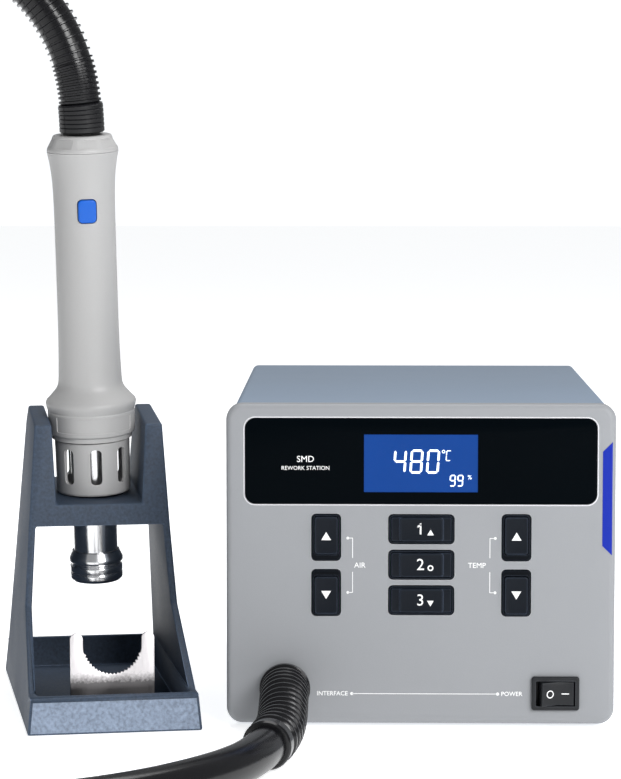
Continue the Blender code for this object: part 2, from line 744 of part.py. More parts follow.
def blower_outline(inset):
    """The volute seen from above: a round case with a straight outlet along its left side."""
    radius = BLOWER_R - inset
    left = BLOWER_X - radius
    right = OUTLET_X + DUCT_R - inset
    front = BLOWER_FRONT_Y + inset
    start = math.pi + math.acos((BLOWER_X - right) / radius)
    points = [(left, front), (right, front)]
    for k in range(BLOWER_STEPS + 1):
        angle = start + (3 * math.pi - start) * k / BLOWER_STEPS
        points.append(
            (BLOWER_X + radius * math.cos(angle), BLOWER_Y + radius * math.sin(angle))
        )
    return points


def make_blower(station, black, steel, white):
    low, high = BLOWER_Z, BLOWER_Z + BLOWER_H
    housing = place(
        "blower_housing", prism(blower_outline(0.0), low, high, "Z"), black, station
    )
    port = (OUTLET_X, OUTLET_Z)
    neck = circle(DUCT_R, 24, port)
    join(housing, prism(neck, DUCT_END_Y, BLOWER_FRONT_Y + 1, "Y"))
    cut(housing, prism(blower_outline(BLOWER_WALL), low + BLOWER_WALL, high + 1, "Z"))
    bore = circle(DUCT_BORE_R, 24, port)
    inlet = circle(BLOWER_INLET_R, 24, (BLOWER_X, BLOWER_Y))
    cut(
        housing,
        prism(bore, DUCT_END_Y - 1, BLOWER_FRONT_Y + BLOWER_WALL + 1, "Y"),
        prism(inlet, low - 1, low + BLOWER_WALL + 1, "Z"),
    )
    lid = place(
        "blower_cover",
        prism(blower_outline(0.0), high + GAP, high + GAP + BLOWER_WALL, "Z"),
        black,
        station,
    )
    shaft_hole = circle(SHAFT_R + 1.5, 16, (BLOWER_X, BLOWER_Y))
    cut(lid, prism(shaft_hole, high - 1, high + BLOWER_WALL + 2, "Z"))
    axis = (BLOWER_X, BLOWER_Y, 0.0)
    disc_top = high - IMPELLER_DROP
    blade_low = low + BLOWER_WALL + 2.0
    base = high + 2 * GAP + BLOWER_WALL
    profile = [(SHAFT_R, blade_low + 1), (SHAFT_R, base), (MOTOR_R, base)]
    profile += [(MOTOR_R, base + MOTOR_H - 1), (MOTOR_R - 1, base + MOTOR_H)]
    place("blower_motor", turned(profile), steel, station, axis)
    make_impeller(station, white, axis, disc_top, blade_low)


def make_impeller(station, white, axis, disc_top, blade_low):
    bore = SHAFT_R + GAP
    disc_low = disc_top - IMPELLER_DISC
    profile = [(bore, blade_low), (IMPELLER_HUB_R, blade_low), (IMPELLER_HUB_R, disc_low)]
    profile += [(IMPELLER_R, disc_low), (IMPELLER_R, disc_top), (bore, disc_top)]
    disc = turned(profile, closed=True, steps=24)
    wheel = place("blower_impeller", disc, white, station, axis)
    blades = []
    for k in range(BLADE_COUNT):
        turn = Matrix.Rotation(2 * math.pi * k / BLADE_COUNT, 2)
        arc = [(IMPELLER_R * t, BLADE_BOW * math.sin(math.pi * t)) for t in BLADE_RUN]
        outline = [(u, v - BLADE_T / 2) for u, v in arc]
        outline += [(u, v + BLADE_T / 2) for u, v in reversed(arc)]
        outline = [tuple(turn @ Vector(point)) for point in outline]
        blades.append(prism(outline, blade_low, disc_low + 0.5, "Z"))
    join(wheel, *blades)


def make_electronics(station, green, aluminium, iron):
    floor = FOOT_H + SHEET
    low = floor + STANDOFF_H + GAP
    near, far = MAIN_BOARD_Y
    outline = rounded_rect(BAY[1] - BAY[0], far - near, 2.0, (BAY_X, (near + far) / 2), 1)
    place("main_board", prism(outline, low, low + BOARD_T, "Z"), green, station)
    x, y = BAY_X, SINK_Y
    base = low + BOARD_T + GAP
    pitch = (SINK_W - SINK_FIN_T) / (SINK_FINS - 1)
    outline = [(x - SINK_W / 2, base), (x + SINK_W / 2, base)]
    for k in reversed(range(SINK_FINS)):
        left = x - SINK_W / 2 + k * pitch
        right = left + SINK_FIN_T
        outline += [(right, base + SINK_H), (left, base + SINK_H)]
        if k:
            outline += [(left, base + SINK_BASE), (left - pitch + SINK_FIN_T, base + SINK_BASE)]
    sink = prism(outline, y - SINK_D / 2, y + SINK_D / 2, "Y")
    place("heat_sink", sink, aluminium, station)
    middle = (BAY_X, TRANSFORMER_Y, floor + GAP + CORE[2] / 2)
    core = place("transformer", box(CORE, middle), iron, station)
    join(core, box(COIL, middle))


def make_rear_fittings(station, black):
    x, z = INLET_XZ
    flange = rounded_rect(*INLET_FLANGE, 4.0, INLET_XZ)
    body = rounded_rect(*INLET_BODY, 0.8, INLET_XZ)
    face, seat = DEPTH + INLET_FLANGE_T + GAP, DEPTH + GAP
    rings = [ring(flange, face, "Y"), ring(flange, seat, "Y")]
    rings += [ring(body, seat, "Y"), ring(body, face - INLET_D, "Y")]
    inlet = place("mains_inlet", loft(rings), black, station)
    well = rounded_rect(*INLET_WELL, 2.5, INLET_XZ)
    cut(inlet, prism(well, face - INLET_WELL_D, face + 1, "Y"))
    root = face - INLET_WELL_D - 0.5
    pins = []
    for shift_x, shift_z in INLET_PINS:
        pins.append(box(INLET_PIN, (x + shift_x, root + INLET_PIN[1] / 2, z + shift_z)))
    join(inlet, *pins)
    profile = [(FUSE_R, DEPTH - FUSE_D), (FUSE_R, DEPTH + GAP), (FUSE_CAP_R, DEPTH + GAP)]
    profile += [(FUSE_CAP_R, DEPTH + 6.0), (FUSE_CAP_R - 1, DEPTH + FUSE_CAP_OUT)]
    fuse = turned(profile, "Y", FUSE_XZ, steps=20)
    place("fuse_holder", fuse, black, station)


# --- stand -------------------------------------------------------------------------------------


def side_half_width(z):
    """Half the stand's outer width at a height: its side walls carry on the tray's line."""
    return STAND_W / 2 - TRAY_DRAFT - (z - TRAY_H) * SIDE_TAPER


def across(outline, half_width):
    """Two rings of one (y, z) outline, at plus and minus the half width for each height."""
    return [[(sign * half_width(z), y, z) for y, z in outline] for sign in (-1, 1)]


def tray_rings():
    """The tray's outside, from its foot to the chamfer around its top."""
    rings = []
    for inset, z in ((0.0, 0.0), (TRAY_DRAFT, TRAY_H - TRAY_CHAMFER), (TRAY_DRAFT, TRAY_H)):
        chamfer = TRAY_CHAMFER if z == TRAY_H else 0.0
        half = STAND_W / 2 - inset
        front, back = inset + chamfer, STAND_D - inset
        rings.append([(-half, front, z), (half, front, z), (half, back, z), (-half, back, z)])
    return rings


def make_stand_body(stand, blue):
    body = place("stand_body", loft(tray_rings()), blue, stand)
    low = TRAY_H - 4.0
    side = [(SIDE_FRONT_Y, low), (SIDE_FRONT_Y, TRAY_H), ELBOW, (BAR_Y, BAR_Z), PRONG_FRONT]
    side += [PRONG_BACK, BACK_EDGE, (FOOT_EDGE_Y, TRAY_H), (FOOT_EDGE_Y, low)]
    join(body, loft(across(side, side_half_width)))
    wall = TRAY_WALL + TRAY_DRAFT
    inside = (STAND_W - 2 * wall, STAND_D - 2 * wall)
    outline = rounded_rect(*inside, 2.0, (0.0, STAND_D / 2))
    near, far = -NOTCH_OVER, STAND_D + NOTCH_OVER
    window = [(near, TRAY_H), (far, TRAY_H), (far, BAR_Z), (near, BAR_Z)]
    cut(body, loft(across(window, lambda z: side_half_width(z) - TRAY_WALL)))
    cut(body, prism(outline, TRAY_FLOOR, TRAY_H + 1.0, "Z"))
    cut(body, loft(notch_rings()))
    axis = Matrix.Rotation(SHELF_LEAN, 4, "X")
    middle = Vector((0.0, GUN_Y, SHELF_Z + (GUN_Y - BAR_Y) * math.tan(SHELF_LEAN)))
    hole = NOZZLE_R + NOZZLE_CLEAR
    drill = turned([(hole, -2 * NOTCH_OVER), (hole, 2 * NOTCH_OVER)])
    bmesh.ops.transform(drill, matrix=Matrix.Translation(middle) @ axis, verts=drill.verts)
    cut(body, drill)


def notch_rings():
    """The space between the prongs: its floor leans with the gun and its sides open upward."""
    rings = []
    for y in (BAR_Y - NOTCH_OVER, BACK_EDGE[0] + NOTCH_OVER):
        floor = SHELF_Z + (y - BAR_Y) * math.tan(SHELF_LEAN)
        top = PRONG_BACK[1] + NOTCH_OVER
        low_half = SLEEVE_R + NOTCH_CLEAR
        high_half = low_half + (top - floor) * NOTCH_SPREAD
        rings.append(
            [(-low_half, y, floor), (low_half, y, floor), (high_half, y, top), (-high_half, y, top)]
        )
    return rings


def rest_outline():
    """The upright plate: round-topped arms on both sides of a toothed half-round notch."""
    half = REST_W / 2
    arm = REST_ARM / 2
    right = []
    for k in range(7):
        angle = k / 6 * math.pi
        right.append(
            (half - arm + arm * math.cos(angle), REST_H - arm + arm * math.sin(angle))
        )
    teeth = []
    for k in range(2 * REST_TEETH + 1):
        angle = -math.pi * (k + 1) / (2 * REST_TEETH + 2)
        radius = REST_NOTCH_R - REST_TOOTH * (k % 2)
        teeth.append((radius * math.cos(angle), REST_NOTCH_Z + radius * math.sin(angle)))
    left = [(-u, v) for u, v in reversed(right)]
    foot = [(-half, 0.0), (half, 0.0)]
    return foot + right + [(REST_NOTCH_R, REST_NOTCH_Z)] + teeth + [
        (-REST_NOTCH_R, REST_NOTCH_Z)
    ] + left


def make_tip_rest(stand, steel):
    plate = prism(rest_outline(), -REST_T / 2, REST_T / 2, "Y")
    place("nozzle_rest_plate", plate, steel, stand, (0.0, REST_Y, TRAY_FLOOR + GAP))


# --- gun ---------------------------------------------------------------------------------------


def shell_outside():
    """(radius, z) of the handle: gap, band, bulge, neck, grip and collar, from the sleeve up."""
    gap, band, bulge = SLEEVE_R + 0.8, SLEEVE_R + BAND_PROUD, SLEEVE_R + BULGE_PROUD
    neck = bulge - GRIP_R
    return [
        (gap, SHELL_BASE), (gap, SHELL_BASE + 2.0), (band, SHELL_BASE + 2.8),
        (band + 0.2, 38.2), (bulge - 0.3, 40.6), (bulge, 43.5), (bulge - 0.1, 45.5),
        (bulge - 0.8, 48.0), (GRIP_R + 0.66 * neck, 50.3), (GRIP_R + 0.41 * neck, 52.8),
        (GRIP_R + 0.24 * neck, 56.0), (GRIP_R + 0.13 * neck, 59.7), (GRIP_R + 0.4, 65.0),
        (GRIP_R + 0.1, 72.0), (GRIP_R, 90.0), (GRIP_R, 120.0), (GRIP_R + 0.1, 136.0),
        (GRIP_R + 0.5, 146.0), (GRIP_R + 1.3, 153.0), (COLLAR_R, SHELL_TOP),
    ]


def make_handle(gun, grey):
    outside = shell_outside()
    inside = [(radius - SHELL_WALL, z) for radius, z in reversed(outside)][::2]
    slit = GAP / 2 / GRIP_R
    front = swept_sector(outside + inside, -math.pi + slit, -slit, SHELL_STEPS)
    back = swept_sector(outside + inside, slit, math.pi - slit, SHELL_STEPS)
    front_shell = place("handle_shell_front", front, grey, gun)
    place("handle_shell_back", back, grey, gun)
    opening = rounded_rect(*widened(BUTTON, BUTTON_GAP), BUTTON_R + BUTTON_GAP, (0.0, BUTTON_Z))
    cut(front_shell, prism(opening, -2 * GRIP_R, -GRIP_R / 2, "Y"))


def make_tail_cap(gun, grey):
    low = SHELL_TOP + GAP
    profile = [(COLLAR_R, low), (COLLAR_R - 0.2, low + 1.2), (TAIL_TOP_R, low + TAIL_H)]
    profile += [(TAIL_BORE_R, low + TAIL_H), (TAIL_BORE_R, low)]
    place("tail_cap", turned(profile, closed=True), grey, gun)


def make_gun_button(gun, blue, green):
    face = -GRIP_R - BUTTON_PROUD
    rings = soft_edge_rings(
        *BUTTON, BUTTON_R, face, face + BUTTON_DEEP, 0.8, (0.0, 0.0), steps=2
    )
    place("gun_button", loft(rings), blue, gun, (0.0, 0.0, BUTTON_Z))
    front = face + BUTTON_DEEP + 3.2
    outline = rounded_rect(9.0, 22.0, 1.0, (0.0, BUTTON_Z))
    board = place("gun_switch_board", prism(outline, front, front + 1.2, "Y"), green, gun)
    middle = (0.0, front - 0.8, BUTTON_Z)
    join(board, box((5.0, 2.2, 5.0), middle))


def make_sleeve(gun, grey):
    inner = SLEEVE_R - SLEEVE_WALL
    lip = TUBE_R + 0.9
    profile = [(SLEEVE_R - 0.5, 0.0), (SLEEVE_R, 0.8), (SLEEVE_R + 0.2, SLEEVE_H)]
    profile += [(inner, SLEEVE_H), (inner, SLEEVE_WALL), (lip, SLEEVE_WALL), (lip, 0.0)]
    sleeve = place("slotted_sleeve", turned(profile, closed=True, steps=SLEEVE_STEPS), grey, gun)
    slots = []
    for k in range(SLOT_COUNT):
        turn = Matrix.Rotation(2 * math.pi * k / SLOT_COUNT, 4, "Z")
        outline = rounded_rect(*SLOT, SLOT[0] / 2 - 0.4, (0.0, SLOT_Z), 2)
        slot = prism(outline, -SLEEVE_R - 2, -inner + 1.5, "Y")
        bmesh.ops.transform(slot, matrix=turn, verts=slot.verts)
        slots.append(slot)
    cut(sleeve, *slots)


def make_heater(gun, steel, ceramic, mica):
    bore = TUBE_R - TUBE_WALL
    profile = [(TUBE_R, TUBE_LOW), (TUBE_R, TUBE_TOP), (bore, TUBE_TOP), (bore, TUBE_LOW)]
    place("outlet_tube", turned(profile, closed=True), steel, gun)
    core = bore - GAP
    profile = [(core, HEATER_LOW), (core, TUBE_TOP - HEATER_SHORT)]
    place("heater_core", turned(profile, steps=16), ceramic, gun)
    low, high = MICA_Z
    wrap = TUBE_R + GAP
    profile = [(wrap + MICA_T, low), (wrap + MICA_T, high), (wrap, high), (wrap, low)]
    place("mica_wrap", turned(profile, closed=True, steps=24), mica, gun)


def make_nozzle(gun, steel):
    bore, lip = TUBE_R + GAP, TUBE_R + GAP - NOZZLE_LIP
    groove = NOZZLE_LOW + NOZZLE_GROOVE
    profile = [(bore + 0.9, NOZZLE_TOP), (NOZZLE_R - 0.2, NOZZLE_TOP - 2.6)]
    profile += [(NOZZLE_R, NOZZLE_TOP - 4.0), (NOZZLE_R - 0.2, groove + 2.0)]
    profile += [(NOZZLE_R - 1.0, groove + 1.0), (NOZZLE_R - 0.3, groove)]
    profile += [(NOZZLE_R - 0.3, NOZZLE_LOW + 2.0), (NOZZLE_R - 1.2, NOZZLE_LOW)]
    profile += [(lip, NOZZLE_LOW), (lip, TUBE_LOW - GAP)]
    profile += [(bore, TUBE_LOW - GAP), (bore, NOZZLE_TOP)]
    place("nozzle", turned(profile, closed=True), steel, gun)


# --- hose --------------------------------------------------------------------------------------


def smooth_curve(points, count):
    """Evenly spaced points on the natural cubic spline through the given points."""
    knots = np.array(points)
    gaps = np.linalg.norm(np.diff(knots, axis=0), axis=1)
    along = np.concatenate([[0.0], np.cumsum(gaps)])
    size = len(knots)
    system, right = np.eye(size), np.zeros((size, 3))
    for k in range(1, size - 1):
        before, after = gaps[k - 1], gaps[k]
        system[k, k - 1 : k + 2] = before, 2 * (before + after), after
        right[k] = 6 * ((knots[k + 1] - knots[k]) / after - (knots[k] - knots[k - 1]) / before)
    bends = np.linalg.solve(system, right)
    curve = []
    for at in np.linspace(0.0, along[-1], count):
        k = min(np.searchsorted(along, at, side="right") - 1, size - 2)
        u = (at - along[k]) / gaps[k]
        v = 1.0 - u
        bow = (v**3 - v) * bends[k] + (u**3 - u) * bends[k + 1]
        curve.append(v * knots[k] + u * knots[k + 1] + gaps[k] ** 2 / 6 * bow)
    return np.array(curve)


def stretch(curve, start, end, step, lead=0.0):
    """Points at even steps between two distances along a curve, with a short lead at each end."""
    lengths = np.linalg.norm(np.diff(curve, axis=0), axis=1)
    along = np.concatenate([[0.0], np.cumsum(lengths)])
    marks = np.linspace(start, end, max(2, round((end - start) / step) + 1))
    if lead:
        marks = np.sort(np.append(marks, (start + lead, end - lead)))
    return np.stack([np.interp(marks, along, curve[:, axis]) for axis in range(3)], axis=1)


def tube(name, points, radii, finish):
    """A capped tube along the points, in the part's own frame."""
    data = bpy.data.curves.new(name, "CURVE")
    data.dimensions = "3D"
    data.bevel_depth = MM
    data.bevel_resolution = 3
    data.use_fill_caps = True
    spline = data.splines.new("POLY")
    spline.points.add(len(points) - 1)
    for target, point, radius in zip(spline.points, points, radii):
        target.co = (*point, 1.0)
        target.radius = radius
    obj = bpy.data.objects.new(name, data)
    bpy.context.scene.collection.objects.link(obj)
    data.materials.append(finish)


def hose_route(station, gun):
    """The chosen route, moved at each end with the outlet and the tail of the gun."""
    bpy.context.view_layer.update()
    outlet = station.matrix_world @ Vector((OUTLET_X * MM, 0.0, OUTLET_Z * MM))
    tail = gun.matrix_world @ Vector((0.0, 0.0, (SHELL_TOP + GAP + TAIL_H) * MM))
    first, last = np.array((outlet, tail)) - ROUTE_ENDS
    share = np.linspace(0.0, 1.0, len(HOSE_ROUTE))[:, None]
    return np.array(HOSE_ROUTE) + first * (1.0 - share) + last * share


def make_hose(station, gun, rubber):
    curve = smooth_curve(hose_route(station, gun), 1200)
    length = np.linalg.norm(np.diff(curve, axis=0), axis=1).sum()
    station_end = STATION_BOOT_L * MM
    gun_end = length - GUN_BOOT_L * MM
    gap = GAP * MM
    points = stretch(curve, gap, station_end, BOOT_STEP * MM, HOSE_LEAD * MM)
    marks = np.linspace(0, STATION_BOOT_L, len(points))
    steps = (0, 4, 9, STATION_BOOT_L - 12, STATION_BOOT_L - 6, STATION_BOOT_L)
    sizes = np.repeat((BOOT_COLLAR_R, BOOT_MIDDLE_R, BOOT_END_R), 2)
    radii = np.interp(marks, steps, sizes)
    tube("station_hose_boot", points, radii, rubber)
    points = stretch(curve, station_end + gap, gun_end - gap, HOSE_STEP * MM, HOSE_LEAD * MM)
    tube("air_hose", points, [HOSE_R] * len(points), rubber)
    points = stretch(curve, gun_end, length - gap, BOOT_STEP * MM, HOSE_LEAD * MM)
    marks = np.linspace(0, 1, len(points))
    radii = np.interp(marks, (0.5, 0.6), (FIN_R, BOOT_END_R))
    tube("gun_hose_boot", points, radii, rubber)


# --- the whole part ----------------------------------------------------------------------------


def main():
    clear_scene()
    station, stand, gun = make_frames()
    warm_grey = material("warm_grey_plastic", (0.52, 0.50, 0.47), 0.45)
    blue_grey = material("blue_grey_paint", (0.13, 0.17, 0.24), 0.5)
    black = material("black_plastic", (0.012, 0.012, 0.014), 0.4)
    gloss_black = material("gloss_black", (0.005, 0.005, 0.007), 0.08)
    rubber = material("black_rubber", (0.015, 0.015, 0.017), 0.5)
    steel = material("steel", (0.62, 0.61, 0.6), 0.22, 1.0)
    aluminium = material("aluminium", (0.75, 0.75, 0.76), 0.35, 1.0)
    accent_blue = material("blue_button", (0.01, 0.12, 0.62), 0.35)
    lcd_blue = material("lcd_blue", (0.005, 0.05, 0.6), 0.2)
    green = material("circuit_board", (0.02, 0.16, 0.06), 0.45)
    iron = material("core_iron", (0.16, 0.15, 0.14), 0.5, 0.8)
    ceramic = material("ceramic", (0.75, 0.72, 0.66), 0.7)
    mica = material("mica", (0.5, 0.42, 0.28), 0.6)
    white = material("white_plastic", (0.75, 0.75, 0.73), 0.5)

    make_bezel(station, warm_grey)
    make_chassis(station, blue_grey)
    make_cover(station, blue_grey)
    make_rear_panel(station, blue_grey)
    make_feet(station, rubber)
    make_cover_screws(station, steel)
    make_display(station, gloss_black, lcd_blue, green)
    make_arrow_keys(station, black)
    make_channel_keys(station, black)
    make_power_switch(station, black)
    make_air_path(station, black, rubber)
    make_blower(station, black, steel, white)
    make_electronics(station, green, aluminium, iron)
    make_rear_fittings(station, black)
    make_stand_body(stand, blue_grey)
    make_tip_rest(stand, steel)
    make_handle(gun, warm_grey)
    make_tail_cap(gun, warm_grey)
    make_gun_button(gun, accent_blue, green)
    make_sleeve(gun, warm_grey)
    make_heater(gun, steel, ceramic, mica)
    make_nozzle(gun, steel)
    make_hose(station, gun, rubber)


main()
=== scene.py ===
"""Looks of a hot-air rework station: the main unit, the hot-air gun in its stand, and the air hose.

Sizes are in millimetres in the frame of each sub-assembly. The main unit is drawn about the middle
of its front panel (panel face at y = 0, bench at z = 0), the stand about the middle of the front of
its base, and the gun about the bottom of its slotted sleeve with z along its axis. Frames carries
them into the part's own metres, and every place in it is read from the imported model.
"""

from __future__ import annotations

import json
import logging
import math
from collections.abc import Iterable, Sequence
from dataclasses import dataclass, field
from enum import Enum

import bmesh
import bpy
import numpy as np
from mathutils import Matrix, Vector

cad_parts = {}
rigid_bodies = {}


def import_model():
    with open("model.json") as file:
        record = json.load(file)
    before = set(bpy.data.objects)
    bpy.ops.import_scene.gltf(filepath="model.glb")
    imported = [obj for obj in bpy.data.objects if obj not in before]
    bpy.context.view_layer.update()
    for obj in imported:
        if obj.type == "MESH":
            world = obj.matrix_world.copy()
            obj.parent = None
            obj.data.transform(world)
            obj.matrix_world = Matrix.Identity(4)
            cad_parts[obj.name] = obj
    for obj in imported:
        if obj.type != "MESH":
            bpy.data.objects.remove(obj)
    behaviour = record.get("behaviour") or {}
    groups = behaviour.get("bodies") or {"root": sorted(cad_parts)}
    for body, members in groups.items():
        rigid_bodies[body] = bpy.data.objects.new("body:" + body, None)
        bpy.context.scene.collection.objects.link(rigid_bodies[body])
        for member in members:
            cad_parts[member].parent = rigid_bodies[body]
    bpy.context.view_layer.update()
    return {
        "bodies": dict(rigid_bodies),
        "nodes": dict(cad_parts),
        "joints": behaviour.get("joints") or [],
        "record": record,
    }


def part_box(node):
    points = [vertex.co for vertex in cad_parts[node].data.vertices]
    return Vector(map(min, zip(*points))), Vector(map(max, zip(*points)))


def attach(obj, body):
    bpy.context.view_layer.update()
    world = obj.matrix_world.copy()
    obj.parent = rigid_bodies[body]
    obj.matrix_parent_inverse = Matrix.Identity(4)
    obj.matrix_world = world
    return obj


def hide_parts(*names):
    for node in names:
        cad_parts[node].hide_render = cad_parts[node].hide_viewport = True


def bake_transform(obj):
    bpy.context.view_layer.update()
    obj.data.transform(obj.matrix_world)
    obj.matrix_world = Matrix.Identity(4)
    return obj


log = logging.getLogger("rework_station")

MM = 0.001
TAU = 2 * math.pi
PRINT_T = 0.06  # thickness of printed marks
MARK_LIFT = 0.02  # between a mark and the surface under it

Pair = tuple[float, float]
Triple = tuple[float, float, float]


class Side(Enum):
    """The left and right side of a symmetric piece."""

    LEFT = -1
    RIGHT = 1


class Way(Enum):
    """Which way an arrow key steps its value."""

    UP = 1
    DOWN = -1


# --- shader node groups ------------------------------------------------------------------------


class NodeKit:
    """Builds one node tree: makes nodes, sets their values and links them."""

    def __init__(self, tree: bpy.types.NodeTree) -> None:
        """Starts on an existing tree."""
        self.tree = tree

    def add(self, kind: str, **settings: object) -> bpy.types.Node:
        """Adds a node.

        Args:
            kind: The node's type name.
            settings: Attributes of the node.

        Returns:
            The node.
        """
        node = self.tree.nodes.new(kind)
        for name, value in settings.items():
            setattr(node, name, value)
        return node

    def link(self, source: bpy.types.NodeSocket, target: bpy.types.NodeSocket) -> None:
        """Joins an output to an input."""
        self.tree.links.new(source, target)

    def math(self, operation: str, a: object, b: object = 0.0) -> bpy.types.NodeSocket:
        """Adds a Math node.

        Args:
            operation: The node's operation.
            a: A number or a socket.
            b: A number or a socket.

        Returns:
            The node's output.
        """
        node = self.add("ShaderNodeMath", operation=operation)
        for socket, value in zip(node.inputs, (a, b)):
            if isinstance(value, bpy.types.NodeSocket):
                self.link(value, socket)
            else:
                socket.default_value = value
        return node.outputs[0]

    def noise(
        self, vector: bpy.types.NodeSocket, scale: object, detail: float
    ) -> bpy.types.NodeSocket:
        """Adds a noise texture and returns its value, centred on zero."""
        node = self.add("ShaderNodeTexNoise")
        node.inputs["Detail"].default_value = detail
        self.link(vector, node.inputs["Vector"])
        if isinstance(scale, bpy.types.NodeSocket):
            self.link(scale, node.inputs["Scale"])
        else:
            node.inputs["Scale"].default_value = scale
        return self.math("SUBTRACT", node.outputs[0], 0.5)


def group_tree(name: str, inputs: dict[str, str], outputs: dict[str, str]) -> bpy.types.NodeTree:
    """Makes an empty shader node group with named sockets.

    Args:
        name: The group's name.
        inputs: Socket type for each input's name.
        outputs: Socket type for each output's name.

    Returns:
        The group's tree, with nodes named "in" and "out" at its ends.
    """
    tree = bpy.data.node_groups.new(name, "ShaderNodeTree")
    for label, kind in inputs.items():
        tree.interface.new_socket(name=label, in_out="INPUT", socket_type=kind)
    for label, kind in outputs.items():
        tree.interface.new_socket(name=label, in_out="OUTPUT", socket_type=kind)
    tree.nodes.new("NodeGroupInput").name = "in"
    tree.nodes.new("NodeGroupOutput").name = "out"
    return tree


FLOAT, COLOUR, VECTOR = "NodeSocketFloat", "NodeSocketColor", "NodeSocketVector"


class Groups:
    """The shared shader effects, each built once."""

    _made: dict[str, bpy.types.NodeTree] = {}

    @classmethod
    def grain(cls) -> bpy.types.NodeTree:
        """Fine moulded or sprayed grain: a speckled colour, a broken roughness and a height."""
        if "grain" in cls._made:
            return cls._made["grain"]
        tree = group_tree(
            "fine_grain",
            {"Colour": COLOUR, "Scale": FLOAT, "Speckle": FLOAT, "Drift": FLOAT,
             "Roughness": FLOAT, "Spread": FLOAT},
            {"Colour": COLOUR, "Roughness": FLOAT, "Height": FLOAT},
        )
        kit = NodeKit(tree)
        start, end = tree.nodes["in"].outputs, tree.nodes["out"].inputs
        place = kit.add("ShaderNodeTexCoord").outputs["Object"]
        fine = kit.noise(place, start["Scale"], 3.0)
        broad = kit.noise(place, 14.0, 2.0)
        speckle = kit.math("MULTIPLY", fine, start["Speckle"])
        drift = kit.math("MULTIPLY", broad, start["Drift"])
        gain = kit.math("ADD", kit.math("ADD", speckle, drift), 1.0)
        tone = kit.add("ShaderNodeVectorMath", operation="SCALE")
        kit.link(start["Colour"], tone.inputs[0])
        kit.link(gain, tone.inputs["Scale"])
        kit.link(tone.outputs[0], end["Colour"])
        spread = kit.math("MULTIPLY", kit.math("ADD", fine, broad), start["Spread"])
        kit.link(kit.math("ADD", start["Roughness"], spread), end["Roughness"])
        kit.link(fine, end["Height"])
        cls._made["grain"] = tree
        return tree

    @classmethod
    def edges(cls) -> bpy.types.NodeTree:
        """Painted highlight: edges drawn paler than the colour, where the surface turns within a
        small radius.
        """
        if "edges" in cls._made:
            return cls._made["edges"]
        tree = group_tree(
            "rubbed_edges",
            {"Colour": COLOUR, "Edge": COLOUR, "Amount": FLOAT},
            {"Colour": COLOUR},
        )
        kit = NodeKit(tree)
        start, end = tree.nodes["in"].outputs, tree.nodes["out"].inputs
        bevel = kit.add("ShaderNodeBevel", samples=4)
        bevel.inputs["Radius"].default_value = 0.9 * MM
        surface = kit.add("ShaderNodeNewGeometry").outputs["Normal"]
        dot = kit.add("ShaderNodeVectorMath", operation="DOT_PRODUCT")
        kit.link(bevel.outputs[0], dot.inputs[0])
        kit.link(surface, dot.inputs[1])
        turned_away = kit.math("SUBTRACT", 1.0, dot.outputs["Value"])
        place = kit.add("ShaderNodeTexCoord").outputs["Object"]
        broken = kit.math("ADD", kit.noise(place, 160.0, 3.0), 1.0)
        strength = kit.math("MULTIPLY", kit.math("MULTIPLY", turned_away, 7.0), start["Amount"])
        mask = kit.add("ShaderNodeClamp")
        kit.link(kit.math("MULTIPLY", strength, broken), mask.inputs[0])
        mix = kit.add("ShaderNodeMix", data_type="RGBA")
        kit.link(mask.outputs[0], mix.inputs["Factor"])
        kit.link(start["Colour"], mix.inputs[6])
        kit.link(start["Edge"], mix.inputs[7])
        kit.link(mix.outputs[2], end["Colour"])
        cls._made["edges"] = tree
        return tree

    @classmethod
    def tooled(cls) -> bpy.types.NodeTree:
        """Fine parallel lines that a lathe or a brush leaves, across the vector's z."""
        if "tooled" in cls._made:
            return cls._made["tooled"]
        tree = group_tree(
            "tooled_lines",
            {"Vector": VECTOR, "Pitch": FLOAT, "Roughness": FLOAT, "Spread": FLOAT},
            {"Roughness": FLOAT, "Height": FLOAT, "Tone": FLOAT},
        )
        kit = NodeKit(tree)
        start, end = tree.nodes["in"].outputs, tree.nodes["out"].inputs
        stretch = kit.add("ShaderNodeVectorMath", operation="MULTIPLY")
        stretch.inputs[1].default_value = (0.04, 0.04, 1.0)
        kit.link(start["Vector"], stretch.inputs[0])
        lines = kit.noise(stretch.outputs[0], start["Pitch"], 4.0)
        smear = kit.noise(start["Vector"], 60.0, 2.0)
        spread = kit.math("MULTIPLY", kit.math("ADD", lines, smear), start["Spread"])
        kit.link(kit.math("ADD", start["Roughness"], spread), end["Roughness"])
        kit.link(lines, end["Height"])
        kit.link(kit.math("ADD", kit.math("MULTIPLY", lines, 0.18), 1.0), end["Tone"])
        cls._made["tooled"] = tree
        return tree


# --- finishes ----------------------------------------------------------------------------------


